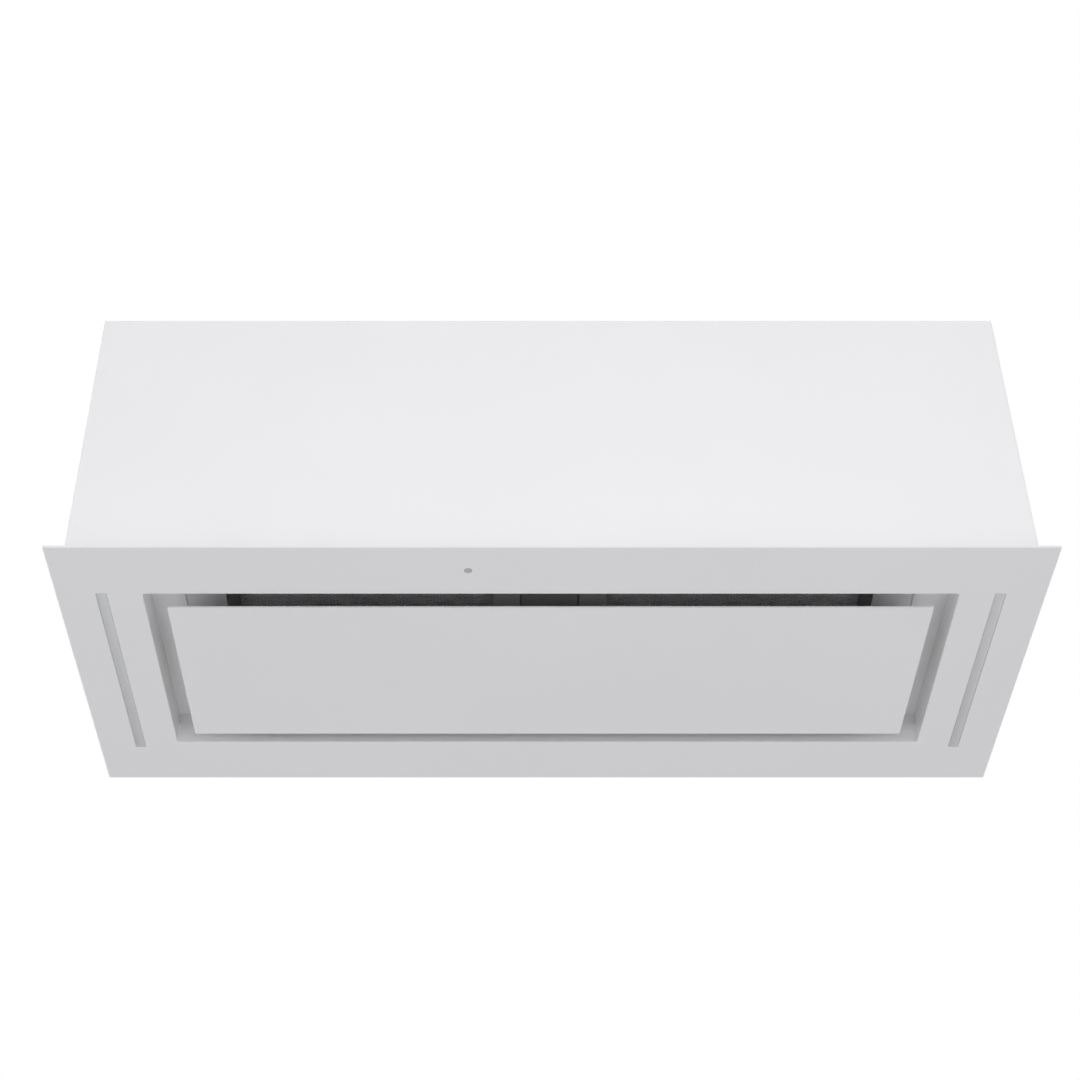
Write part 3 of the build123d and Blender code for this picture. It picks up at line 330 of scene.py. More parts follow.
def mirrored(piece, name):
    """The same piece for the hood's left end."""
    other = copied(piece, name)
    other.data.transform(Matrix.Scale(-1, 4, (1, 0, 0)))
    only(other)
    bpy.ops.object.mode_set(mode="EDIT")
    bpy.ops.mesh.select_all(action="SELECT")
    bpy.ops.mesh.flip_normals()
    bpy.ops.object.mode_set(mode="OBJECT")
    return smooth(other)


def softened_copy(node, name, width):
    """A CAD node's own shape with its edges broken, as a new piece."""
    source = frame["nodes"][node]
    piece = source.copy()
    piece.data = source.data.copy()
    piece.parent = None
    piece.matrix_world = Matrix.Identity(4)
    for key in list(piece.keys()):
        del piece[key]
    piece.name = name
    piece.data.name = name
    bpy.context.scene.collection.objects.link(piece)
    only(piece)
    bpy.ops.object.mode_set(mode="EDIT")
    bpy.ops.mesh.select_all(action="SELECT")
    bpy.ops.mesh.remove_doubles(threshold=0.005 * MM)
    bpy.ops.mesh.dissolve_limited(angle_limit=math.radians(0.6))
    bpy.ops.mesh.normals_make_consistent(inside=False)
    bpy.ops.mesh.customdata_custom_splitnormals_clear()
    bpy.ops.object.mode_set(mode="OBJECT")
    return soften(piece, width)


def fit(piece, body, slot, finish, *nodes):
    """Give the piece its finish and its body, and hide the CAD nodes that it stands for."""
    piece.data.materials.clear()
    piece.data.materials.append(finish)
    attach(piece, body)
    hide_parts(*nodes)


# ---------------------------------------------------------------- helpers for finishes
def new_finish(name, colour, rough, metal=0.0):
    """A material whose Principled shader has its plain values."""
    finish = bpy.data.materials.new(name)
    finish.use_nodes = True
    shader = finish.node_tree.nodes["Principled BSDF"]
    shader.inputs["Base Color"].default_value = (*colour, 1)
    shader.inputs["Roughness"].default_value = rough
    shader.inputs["Metallic"].default_value = metal
    return finish


def node_of(finish, kind, **values):
    """A node with some of its inputs or settings filled in."""
    node = finish.node_tree.nodes.new(kind)
    for key, value in values.items():
        if key in node.inputs:
            node.inputs[key].default_value = value
        else:
            setattr(node, key, value)
    return node


def wire(finish, source, target):
    """Connect an output socket to an input socket."""
    finish.node_tree.links.new(source, target)


def object_place(finish, stretch=(1, 1, 1)):
    """Object coordinates, stretched along the axes."""
    place = node_of(finish, "ShaderNodeTexCoord")
    turn = node_of(finish, "ShaderNodeMapping")
    turn.inputs["Scale"].default_value = stretch
    wire(finish, place.outputs["Object"], turn.inputs["Vector"])
    return turn.outputs["Vector"]


def grain(finish, place, scale, detail=3.0, rough=0.5):
    """Fine noise at a scale given per metre."""
    noise = node_of(finish, "ShaderNodeTexNoise", Scale=scale, Detail=detail, Roughness=rough)
    wire(finish, place, noise.inputs["Vector"])
    return noise.outputs["Fac"]


def spread(finish, value, low, high, start=0.3, end=0.7):
    """Turn a 0 to 1 pattern into a range of numbers."""
    ramp = node_of(finish, "ShaderNodeMapRange")
    ramp.inputs["From Min"].default_value = start
    ramp.inputs["From Max"].default_value = end
    ramp.inputs["To Min"].default_value = low
    ramp.inputs["To Max"].default_value = high
    wire(finish, value, ramp.inputs["Value"])
    return ramp.outputs["Result"]


def shader_of(finish):
    """The material's Principled shader."""
    return finish.node_tree.nodes["Principled BSDF"]


def shaded(colour, share):
    """The colour times a share, and at most white."""
    return tuple(min(1, c * share) for c in colour)


def tint(finish, value, dark, light):
    """Blend two colours by a 0 to 1 pattern, into the base colour."""
    blend = node_of(finish, "ShaderNodeMix", data_type="RGBA")
    blend.inputs["A"].default_value = (*dark, 1)
    blend.inputs["B"].default_value = (*light, 1)
    wire(finish, value, blend.inputs["Factor"])
    wire(finish, blend.outputs["Result"], shader_of(finish).inputs["Base Color"])


def relief(finish, value, depth, strength=0.5):
    """Bump of a depth given in millimetres."""
    bump = node_of(finish, "ShaderNodeBump")
    bump.inputs["Distance"].default_value = depth * MM
    bump.inputs["Strength"].default_value = strength
    wire(finish, value, bump.inputs["Height"])
    wire(finish, bump.outputs["Normal"], shader_of(finish).inputs["Normal"])


def roughness(finish, value):
    """Vary the shader's roughness by a pattern."""
    wire(finish, value, shader_of(finish).inputs["Roughness"])


def split(finish, place):
    """The X and the Y of a place."""
    parts = node_of(finish, "ShaderNodeSeparateXYZ")
    wire(finish, place, parts.inputs["Vector"])
    return parts.outputs["X"], parts.outputs["Y"]


def reckon(finish, operation, *values):
    """A sum on patterns and plain numbers."""
    node = node_of(finish, "ShaderNodeMath", operation=operation)
    for value, socket in zip(values, node.inputs):
        if isinstance(value, float):
            socket.default_value = value
        else:
            wire(finish, value, socket)
    return node.outputs[0]


def powder_coat(name, colour, rough=0.45, gloss=0.0):
    """Sprayed powder paint: a faint orange peel and hardly any change of shade."""
    finish = new_finish(name, colour, rough)
    shader_of(finish).inputs["Coat Weight"].default_value = gloss
    shader_of(finish).inputs["Coat Roughness"].default_value = 0.22
    place = object_place(finish)
    cloud = grain(finish, place, scale=5.0, detail=2.0)
    tint(finish, spread(finish, cloud, 0, 1), shaded(colour, 0.985), colour)
    peel = grain(finish, place, scale=420.0, detail=2.0, rough=0.4)
    roughness(finish, spread(finish, peel, rough - 0.03, rough + 0.04))
    relief(finish, peel, depth=0.012, strength=0.6)
    return finish


def galvanised(name, colour, rough=0.38):
    """Zinc coated sheet with its spangle of crystals."""
    finish = new_finish(name, colour, rough, 0.3)
    place = object_place(finish)
    crystals = node_of(finish, "ShaderNodeTexVoronoi", Scale=150.0, Randomness=1.0)
    wire(finish, place, crystals.inputs["Vector"])
    shade = node_of(finish, "ShaderNodeSeparateColor")
    wire(finish, crystals.outputs["Color"], shade.inputs["Color"])
    tint(finish, shade.outputs["Red"], shaded(colour, 0.93), shaded(colour, 1.04))
    roughness(finish, spread(finish, shade.outputs["Green"], rough - 0.07, rough + 0.1, 0, 1))
    relief(finish, grain(finish, place, scale=900.0, detail=2.0), depth=0.006)
    return finish


def rolled_lines(finish, along, rough):
    """Fine lines along one axis, in the roughness and the bump."""
    stretch = [900.0, 900.0, 900.0]
    stretch["XYZ".index(along)] = 12.0
    lines = grain(finish, object_place(finish, stretch), scale=1.0)
    roughness(finish, spread(finish, lines, rough - 0.05, rough + 0.08))
    relief(finish, lines, depth=0.004)
    return lines


def drawn_metal(name, colour, rough, along, metal=1.0):
    """Metal with fine lines along one axis, as rolled, drawn or brushed."""
    finish = new_finish(name, colour, rough, metal)
    lines = rolled_lines(finish, along, rough)
    tint(finish, spread(finish, lines, 0, 1), shaded(colour, 0.93), colour)
    return finish


def sheet_with_painted_light_and_shade(name, middle, ends, rough, metal, start, end):
    """Mill-finished sheet with painted light and shade: its colour changes from the hood's middle
    to its ends.
    """
    finish = new_finish(name, middle, rough, metal)
    rolled_lines(finish, "X", rough)
    # painted light and shade by the distance from the hood's middle
    reach = reckon(finish, "ABSOLUTE", split(finish, object_place(finish))[0])
    tint(finish, spread(finish, reach, 0, 1, start, end), middle, ends)
    return finish


def turned_metal(name, colour, rough):
    """Plated or ground small parts with a faint mottle."""
    finish = new_finish(name, colour, rough, 1.0)
    place = object_place(finish)
    mottle = grain(finish, place, scale=700.0)
    tint(finish, spread(finish, mottle, 0, 1), shaded(colour, 0.9), colour)
    roughness(finish, spread(finish, mottle, rough - 0.05, rough + 0.08))
    relief(finish, grain(finish, place, scale=1600.0, detail=2.0), depth=0.003)
    return finish


def moulded_plastic(name, colour, rough=0.5, texture=0.015):
    """Moulded plastic with a fine spark-eroded texture."""
    finish = new_finish(name, colour, rough)
    place = object_place(finish)
    cloud = grain(finish, place, scale=14.0, detail=2.0)
    tint(finish, spread(finish, cloud, 0, 1), shaded(colour, 0.94), colour)
    pits = grain(finish, place, scale=1500.0, detail=2.0, rough=0.6)
    roughness(finish, spread(finish, pits, rough - 0.04, rough + 0.07))
    relief(finish, pits, depth=texture)
    return finish


def laminated(name, colour, rough, scale):
    """A stack of punched sheets, seen as fine bands."""
    finish = new_finish(name, colour, rough, 0.7)
    place = object_place(finish)
    rings = node_of(finish, "ShaderNodeTexWave", Scale=scale, Distortion=0.3)
    wire(finish, place, rings.inputs["Vector"])
    tint(finish, rings.outputs["Fac"], shaded(colour, 0.6), colour)
    relief(finish, rings.outputs["Fac"], depth=0.05, strength=0.6)
    mottle = grain(finish, place, scale=300.0)
    roughness(finish, spread(finish, mottle, rough - 0.05, rough + 0.1))
    return finish


def board_finish(name, colour, rough=0.35):
    """Solder mask over copper tracks."""
    finish = new_finish(name, colour, rough)
    place = object_place(finish)
    tracks = node_of(finish, "ShaderNodeTexBrick", Scale=110.0)
    tracks.inputs["Mortar Size"].default_value = 0.05
    tracks.inputs["Color1"].default_value = (0, 0, 0, 1)
    tracks.inputs["Color2"].default_value = (0.25, 0.25, 0.25, 1)
    tracks.inputs["Mortar"].default_value = (1, 1, 1, 1)
    wire(finish, place, tracks.inputs["Vector"])
    tint(finish, tracks.outputs["Color"], colour, tuple(min(1, c * 1.7 + 0.02) for c in colour))
    relief(finish, tracks.outputs["Color"], depth=0.03)
    mottle = grain(finish, place, scale=500.0)
    roughness(finish, spread(finish, mottle, rough - 0.05, rough + 0.07))
    return finish


def frosted(name, colour, rough=0.38):
    """Opal light diffuser with a fine grain and painted shade: lighter towards its right and front
    edges.
    """
    finish = new_finish(name, colour, rough)
    shader_of(finish).inputs["Subsurface Weight"].default_value = 0.15
    shader_of(finish).inputs["Subsurface Scale"].default_value = 0.002
    place = object_place(finish)
    x, y = split(finish, place)
    # painted shade across the strip and along it
    offset = reckon(finish, "MULTIPLY_ADD", reckon(finish, "SIGN", x), -LED_X * MM, x)
    across = spread(finish, offset, 0, 1, -LED_HALF_W * MM, LED_HALF_W * MM)
    along = spread(finish, y, 1, 0, (LED_Y - LED_HALF_LEN) * MM, (LED_Y + LED_HALF_LEN) * MM)
    shade = spread(finish, reckon(finish, "ADD", across, along), 0, 1, 0, 2)
    tint(finish, shade, shaded(colour, 0.82), shaded(colour, 1.14))
    prisms = grain(finish, place, scale=1100.0, detail=2.0)
    roughness(finish, spread(finish, prisms, rough - 0.04, rough + 0.06))
    relief(finish, prisms, depth=0.01, strength=0.6)
    return finish


WHITE_COAT = powder_coat("white_powder_coat", (0.82, 0.82, 0.829))
# Whiter and glossier than the white coat: paint of the inner tray, and painted light on the
# fascia's mouth.
INNER_PAINT_AND_MOUTH_LIGHT = powder_coat("inner_white_paint", (0.95, 0.95, 0.955), 0.36, 1.0)
GALVANISED = galvanised("galvanised_sheet", (0.50, 0.505, 0.51), 0.42)
# The carrier is painted lighter towards its ends: painted light on its end blanks beside the side
# gaps, grey like galvanised sheet in the middle.
CARRIER_SHEET = sheet_with_painted_light_and_shade("carrier_sheet_painted_light", (0.44, 0.44, 0.445), (0.93, 0.93, 0.935),
                             rough=0.5, metal=0.3, start=0.10, end=0.30)
ZINC = turned_metal("zinc_plating", (0.50, 0.505, 0.51), 0.34)
FILTER_NET = turned_metal("filter_aluminium", (0.53, 0.52, 0.53), 0.45)
# The filter frames and pulls are painted dark beyond 289 mm from the middle: painted shade on
# their outer end bars.
FILTER_RIM = sheet_with_painted_light_and_shade("filter_frame_aluminium_painted_shade", (0.74, 0.73, 0.74), (0.22, 0.217, 0.22),
                          rough=0.5, metal=0.5, start=0.289, end=0.292)
CHANNEL = drawn_metal("anodised_channel", (0.72, 0.73, 0.74), 0.35, "Y")
# opal strips with painted shade, lighter at their right and front edges
LENS = frosted("opal_lens_painted_shade", (0.60, 0.60, 0.61))
SMOKED = moulded_plastic("smoked_window", (0.46, 0.46, 0.47), 0.18, 0.002)
BOARD = board_finish("green_circuit_board", (0.03, 0.14, 0.06))
FERRITE = moulded_plastic("sintered_ferrite", (0.06, 0.06, 0.065), 0.6, 0.05)
SPRING = drawn_metal("spring_steel", (0.50, 0.51, 0.53), 0.28, "X")
GREY_PLASTIC = moulded_plastic("grey_moulded_plastic", (0.30, 0.31, 0.33), 0.5)
BLACK_PLASTIC = moulded_plastic("black_moulded_plastic", (0.028, 0.028, 0.031), 0.48)
CORE_STEEL = laminated("stacked_core_steel", (0.30, 0.30, 0.32), 0.5, 100.0)
MOTOR_PAINT = powder_coat("motor_enamel", (0.10, 0.11, 0.125), 0.4)
GROUND_STEEL = turned_metal("ground_steel", (0.66, 0.67, 0.69), 0.22)
RUBBER = moulded_plastic("black_rubber", (0.02, 0.02, 0.021), 0.72, 0.03)
TERMINAL = moulded_plastic("ivory_plastic", (0.74, 0.72, 0.66), 0.45)
CAPACITOR = moulded_plastic("capacitor_can", (0.66, 0.66, 0.63), 0.35)

NODE_FINISH = {
    "white_powder_coat": WHITE_COAT, "inner_white_paint": INNER_PAINT_AND_MOUTH_LIGHT,
    "galvanised_steel": GALVANISED, "zinc_fasteners": ZINC,
    "aluminium_filter": FILTER_RIM, "aluminium_channel": CHANNEL,
    "opal_diffuser": LENS, "smoked_window": SMOKED, "circuit_board": BOARD, "ferrite": FERRITE,
    "spring_steel": SPRING, "grey_plastic": GREY_PLASTIC, "black_plastic": BLACK_PLASTIC,
    "electrical_steel": CORE_STEEL, "motor_paint": MOTOR_PAINT, "ground_steel": GROUND_STEEL,
    "rubber": RUBBER, "terminal_plastic": TERMINAL, "capacitor_case": CAPACITOR,
}


def dress_nodes():
    """Give every CAD node the finish of its material slot."""
    for row in frame["record"]["subparts"]:
        node = frame["nodes"][row["node"]]
        node.data.materials.clear()
        node.data.materials.append(NODE_FINISH[row["material_slot"]])


# ---------------------------------------------------------------- fascia
def make_fascia():
    """Hemmed sheet with its return flange, light slots, receiver hole and studs."""
    sheet = add_block("fascia_sheet", (-FASCIA_X, -FASCIA_Y, 0),
                      (FASCIA_X, FASCIA_Y, 2 * FASCIA_THK))
    round_edges(sheet, HEM_ROUND, lambda a, b: True)
    ix = FASCIA_X - HEM_W
    iy = FASCIA_Y - HEM_W
    cut(sheet, add_block("inside_of_hem", (-ix, -iy, FASCIA_THK), (ix, iy, PAST)))
    rx = OPEN_X + FASCIA_THK
    ry = OPEN_Y + FASCIA_THK
    collar = add_block("return_flange", (-rx, -ry, RETURN_FOOT), (rx, ry, RETURN_H))
    round_edges(collar, OPEN_CORNER + FASCIA_THK, upright, steps=8)
    fuse(sheet, collar)
    mouth = add_block("opening", (-OPEN_X, -OPEN_Y, -PAST), (OPEN_X, OPEN_Y, RETURN_H + PAST))
    round_edges(mouth, OPEN_CORNER, upright, steps=8)
    cut(sheet, mouth)

    def mouth_rim(a, b):
        reach_x = max(abs(a.x), abs(b.x))
        reach_y = max(abs(a.y), abs(b.y))
        return reach_x < OPEN_X + SLACK and reach_y < OPEN_Y + SLACK and underside(a, b)

    round_edges(sheet, MOUTH_ROUND, mouth_rim)
    w = LED_HALF_W + SLOT_CLEAR
    end = LED_HALF_LEN + SLOT_CLEAR
    for sx in (-1, 1):
        slot = add_block("light_slot", (sx * LED_X - w, LED_Y - end, -PAST),
                         (sx * LED_X + w, LED_Y + end, PAST))
        round_edges(slot, SLOT_CORNER, upright, steps=3)
        cut(sheet, slot)
    hole_r = RECEIVER_R + SLOT_CLEAR / 2
    cut(sheet, add_rod("receiver_hole", (*RECEIVER, -PAST), 2 * PAST, hole_r))
    foot = FASCIA_THK - SUNK
    studs = [add_rod("stud", (x, y, foot), STUD_TOP - foot, STUD_R, sides=24)
             for x, y in STUDS + CHANNEL_STUDS]
    fuse(sheet, gather(studs, "studs"))
    smooth(sheet)
    fit(sheet, "hood", "white_powder_coat", WHITE_COAT, "fascia_frame")
    # The faces of the mouth take the whiter, glossier inner paint: painted light in the deep gap
    # round the panel.
    sheet.data.materials.append(INNER_PAINT_AND_MOUTH_LIGHT)
    for face in sheet.data.polygons:
        x, y, z = face.center / MM
        if abs(x) < OPEN_X + SUNK and abs(y) < OPEN_Y + SUNK and z > MOUTH_ROUND:
            face.material_index = 1


# ---------------------------------------------------------------- housing
def make_housing():
    """The bent wrapper: front, top and rear, with flanges turned in at the foot."""
    top_under = HOUSING_TOP - SHEET
    y = HOUSING_Y - SHEET
    shell = add_block("housing_sheet", (-WRAP_X, -HOUSING_Y, FASCIA_THK),
                      (WRAP_X, HOUSING_Y, HOUSING_TOP))

    def upper_fold(a, b):
        return lengthwise(a, b) and a.z > HOUSING_MIDDLE

    def foot_fold(a, b):
        return lengthwise(a, b) and a.z < HOUSING_MIDDLE

    round_edges(shell, FOLD_R, upper_fold, steps=6)
    round_edges(shell, FOOT_FOLD_R, foot_fold)
    through = WRAP_X + PAST
    hollow = add_block("hollow", (-through, -y, FASCIA_THK + SHEET), (through, y, top_under))
    round_edges(hollow, FOLD_R - SHEET, upper_fold, steps=6)
    cut(shell, hollow)
    lip = HOUSING_Y - BOTTOM_FLANGE
    cut(shell, add_block("foot_opening", (-through, -lip, -PAST), (through, lip, PAST)))
    low = HOUSING_TOP - PAST
    cut(shell, add_rod("duct_hole", (0, COLLAR_Y, low), 2 * PAST, COLLAR_BORE, sides=96))
    cut(shell, add_rod("cable_hole", (*CABLE_ENTRY, low), 2 * PAST, GROMMET_R))
    smooth(shell)
    fit(shell, "hood", "white_powder_coat", WHITE_COAT, "housing_wrapper")


def make_housing_ends():
    """End plates with their flanges turned in and their edges broken."""
    for word in ("right", "left"):
        plate = softened_copy("end_plate_" + word, "housing_end_" + word, END_EDGE)
        fit(plate, "hood", "white_powder_coat", WHITE_COAT, "end_plate_" + word)


# ---------------------------------------------------------------- suction panel
def make_panel():
    """Flat pan with folded corners and a low upturned rim."""
    skin = add_block("suction_panel_sheet", (-PANEL_X, PANEL_Y0, 0),
                     (PANEL_X, PANEL_Y1, PANEL_RIM))
    round_edges(skin, PANEL_CORNER, upright)
    round_edges(skin, PANEL_EDGE, underside)
    t = PANEL_THK
    pan = add_block("inside_of_pan", (-PANEL_X + t, PANEL_Y0 + t, t),
                    (PANEL_X - t, PANEL_Y1 - t, PAST))
    round_edges(pan, PAN_CORNER, upright, steps=2)
    cut(skin, pan)
    smooth(skin)
    fit(skin, "panel", "white_powder_coat", WHITE_COAT, "panel_skin")


# ---------------------------------------------------------------- light strips and receiver
def make_lenses():
    """Opal strips, flush with the underside, with a lip that rests on the fascia."""
    w = LED_HALF_W
    end = LED_HALF_LEN
    lens = add_block("light_lens_right", (LED_X - w, LED_Y - end, 0),
                     (LED_X + w, LED_Y + end, FASCIA_THK + SUNK))
    round_edges(lens, LED_CORNER, upright)
    round_edges(lens, LED_EDGE, underside, steps=3)
    w += LED_LIP
    end += LED_LIP
    lip = add_block("lip", (LED_X - w, LED_Y - end, FASCIA_THK),
                    (LED_X + w, LED_Y + end, LED_LIP_TOP))
    round_edges(lip, LED_LIP_CORNER, upright)
    fuse(lens, lip)
    smooth(lens)
    left = mirrored(lens, "light_lens_left")
    fit(lens, "hood", "opal_diffuser", LENS, "led_lens_right")
    fit(left, "hood", "opal_diffuser", LENS, "led_lens_left")


def make_receiver():
    """Small round window with a broken edge, over its lip."""
    window = add_rod("receiver_dot", (*RECEIVER, 0), FASCIA_THK + SUNK, RECEIVER_R, sides=64)
    round_edges(window, RECEIVER_EDGE, underside)
    lip_r = RECEIVER_R + RECEIVER_LIP
    fuse(window, add_rod("lip", (*RECEIVER, FASCIA_THK), FASCIA_THK, lip_r, sides=64))
    smooth(window)
    fit(window, "hood", "smoked_window", SMOKED, "receiver_window")


# ---------------------------------------------------------------- filters
def make_net(name, x0, x1, y0, y1, z, columns, rows):
    """One layer of expanded sheet: a lattice of diamonds with flat strands."""
    bpy.ops.object.select_all(action="DESELECT")
    centre = Vector(((x0 + x1) / 2, (y0 + y1) / 2, z)) * MM
    bpy.ops.mesh.primitive_grid_add(x_subdivisions=columns, y_subdivisions=rows, size=1,
                                    location=centre)
    bpy.context.object.scale = ((x1 - x0) * MM, (y1 - y0) * MM, 1)
    net = named(name)
    bpy.ops.object.mode_set(mode="EDIT")
    bpy.ops.mesh.select_mode(type="EDGE")
    bpy.ops.mesh.select_all(action="SELECT")
    bpy.ops.mesh.poke()
    bpy.ops.mesh.select_all(action="DESELECT")
    shape = bmesh.from_edit_mesh(net.data)
    for edge in shape.edges:
        a, b = (v.co / MM for v in edge.verts)
        straight = abs(a.x - b.x) < NEAR or abs(a.y - b.y) < NEAR
        edge.select_set(straight and not edge.is_boundary)
    bmesh.update_edit_mesh(net.data)
    bpy.ops.mesh.dissolve_edges(use_verts=False)
    bpy.ops.object.mode_set(mode="OBJECT")
    step = net.modifiers.new("strands", "WIREFRAME")
    step.thickness = STRAND * MM
    step.use_boundary = True
    step.use_even_offset = False
    bpy.ops.object.modifier_apply(modifier=step.name)
    return net


def make_filter(side):
    """A filter's two nets, its rim and its pull."""
    word = "right" if side > 0 else "left"
    body = "filter_" + word
    x0, x1 = FILTER_X0 + FRAME_INNER_BAR, FILTER_X1 - FRAME_BAR
    y0, y1 = FILTER_Y0 + FRAME_BAR, FILTER_Y1 - FRAME_BAR
    if side < 0:
        x0, x1 = -x1, -x0
    columns = round((x1 - x0) / NET_PITCH_X)
    rows = round((y1 - y0) / NET_PITCH_Y)
    lower = make_net("net", x0, x1, y0, y1, NET_Z0 + STRAND / 2, columns, rows)
    upper = make_net("net", x0, x1, y0, y1, NET_Z1 - STRAND / 2,
                     columns - NET_FEWER[0], rows - NET_FEWER[1])
    net = gather([lower, upper], "filter_net_" + word)
    fit(net, body, "aluminium_filter", FILTER_NET, "filter_mesh_" + word)
    rim = softened_copy("filter_frame_" + word, "filter_rim_" + word, FRAME_EDGE)
    fit(rim, body, "aluminium_filter", FILTER_RIM, "filter_frame_" + word)
    pull = softened_copy("filter_pull_" + word, "filter_handle_" + word, PULL_EDGE)
    fit(pull, body, "aluminium_filter", FILTER_RIM, "filter_pull_" + word)


# ---------------------------------------------------------------- fasteners and small parts
def turned(name, rings, sides=28):
    """A turned solid: rings of radius and height, extruded from the foot to the top."""
    radius, foot = rings[0]
    bpy.ops.object.select_all(action="DESELECT")
    bpy.ops.mesh.primitive_circle_add(vertices=sides, radius=radius * MM, fill_type="NGON",
                                      location=(0, 0, foot * MM))
    piece = named(name)
    bpy.ops.object.mode_set(mode="EDIT")
    bpy.ops.mesh.select_mode(type="FACE")
    bpy.ops.mesh.select_all(action="SELECT")
    for (r, z), (next_r, next_z) in zip(rings, rings[1:]):
        rise = (next_z - z) * MM
        bpy.ops.mesh.extrude_region_move(TRANSFORM_OT_translate={"value": (0, 0, rise)})
        wider = next_r / r
        bpy.ops.transform.resize(value=(wider, wider, 1), center_override=(0, 0, next_z * MM))
    bpy.ops.mesh.select_all(action="SELECT")
    bpy.ops.mesh.normals_make_consistent(inside=False)
    bpy.ops.object.mode_set(mode="OBJECT")
    return piece


def dome(r, height, steps=6):
    """Rings of a low domed head that stands at 0, rounded over at its rim."""
    rings = [(r, 0)]
    for step in range(steps + 1):
        turn = math.pi / 2 * step / steps
        inward = DOME_DRAW * (1 - math.cos(turn))
        upward = DOME_RIM + (1 - DOME_RIM) * math.sin(turn)
        rings.append((r * (1 - inward), height * upward))
    return rings


def add_rivet(r, head_r, head_h, grip, tail_r):
    """A blind rivet: domed head with the broken pin in its hollow, shank and set tail."""
    end = -grip - head_h
    tail = [(tail_r * 0.8, end), (tail_r, end + head_h * 0.3), (tail_r, -grip), (r, -grip), (r, 0)]
    head = turned("rivet", tail + dome(head_r, head_h))
    floor = head_h - RIVET_DEPTH
    cut(head, add_rod("hollow", (0, 0, floor), PAST, r * RIVET_BORE, sides=20))
    fuse(head, add_rod("pin", (0, 0, floor - PIN_FOOT), PIN_H, r * RIVET_PIN, sides=16))
    return smooth(head)


def add_screw(length):
    """A pan-head screw with a cross recess and a rolled thread."""
    core = SCREW_R * THREAD_CORE
    rings = [(core * SCREW_TIP, -length), (core, -length + 0.4)]
    for turn in range(int(length / SCREW_PITCH - 0.4)):
        z = -length + 0.5 + turn * SCREW_PITCH
        rings += [(core, z), (SCREW_R, z + 0.35), (SCREW_R, z + 0.45), (core, z + 0.8)]
    head = turned("screw", rings + [(core, 0)] + dome(SCREW_HEAD_R, SCREW_HEAD_H))
    deep = SCREW_HEAD_H - RECESS_DEPTH
    far, near = RECESS_REACH, RECESS_HALF_W
    cut(head, add_block("bar", (-far, -near, deep), (far, near, PAST)))
    cut(head, add_block("bar", (-near, -far, deep), (near, far, PAST)))
    cut(head, add_rod("recess", (0, 0, deep - 0.3), RECESS_DEPTH + 0.4, 0.2, sides=16,
                      end_radius=RECESS_R))
    return smooth(head)


def place_all(master, spots, name):
    """Copies of a small part at each place and turn, gathered into one piece."""
    pieces = []
    for turn, place in spots:
        one = copied(master, name)
        one.data.transform(Matrix.Translation(Vector(place) * MM) @ Matrix.Rotation(turn, 4, "X"))
        pieces.append(one)
    bpy.data.objects.remove(master)
    return gather(pieces, name)


def make_rivets():
    """Rivets of the housing's ends, the control box and the hanger rails."""
    spots = [(0, (x, y, HOUSING_TOP)) for x, y in RIVET_TOP]
    spots += [(-math.pi / 2, (x, HOUSING_Y, z)) for x, z in RIVET_REAR]
    ends = place_all(add_rivet(*END_RIVET), spots, "end_rivets")
    spots = [(0, (x, y, HOUSING_TOP)) for x, y in RIVET_BOX]
    box = place_all(add_rivet(*BOX_RIVET), spots, "box_rivets")
    small = gather([ends, box], "housing_rivet_set")
    fit(small, "hood", "zinc_fasteners", ZINC, "housing_rivets")
    spots = [(0, (x, y, RAIL_FOOT_TOP)) for x, y in RIVET_RAIL]
    large = place_all(add_rivet(*RAIL_RIVET), spots, "rail_rivet_set")
    fit(large, "hood", "zinc_fasteners", ZINC, "rail_rivets")


def make_screws():
    """Screws of the collar, the filter carrier, the blower's sides and the box's cover."""
    sets = [  # length, turn about X, places and seat
        (8.0, 0, SCREW_COLLAR, COLLAR_FLANGE_TOP), (4.0, 0, SCREW_CARRIER, CARRIER_TOP),
        (2.0, math.pi, SCREW_BLOWER, BLOWER_SEAT), (8.0, math.pi, SCREW_COVER, COVER_SEAT),
    ]
    rows = [place_all(add_screw(length), [(turn, (x, y, seat)) for x, y in places], "row")
            for length, turn, places, seat in sets]
    fit(gather(rows, "sheet_screw_set"), "hood", "zinc_fasteners", ZINC, "sheet_screws")


def make_grommet():
    """Rubber grommet with two rounded lips and a flared bore."""
    x, y = CABLE_ENTRY
    low, high = GROMMET_SPANS[0][0], GROMMET_SPANS[1][1]
    inset = 0.5
    height = high - low - 2 * inset
    ring = add_rod("grommet_ring", (x, y, low + inset), height, GROMMET_R, sides=64)
    for z0, z1 in GROMMET_SPANS:
        lip = add_rod("lip", (x, y, z0), z1 - z0, GROMMET_LIP_R, sides=64)
        round_edges(lip, GROMMET_LIP_ROUND, lambda a, b: abs(a.z - b.z) < NEAR, steps=5)
        fuse(ring, lip)
    cut(ring, add_rod("bore", (x, y, low - PAST), high - low + 2 * PAST, CABLE_R))

    def bore_rim(a, b):
        ends = abs(a.z - b.z) < NEAR and (a.z < low + NEAR or a.z > high - NEAR)
        return ends and math.hypot(a.x - x, a.y - y) < CABLE_R + SLACK

    round_edges(ring, CABLE_FLARE, bore_rim)
    smooth(ring)
    fit(ring, "hood", "rubber", RUBBER, "cable_grommet")


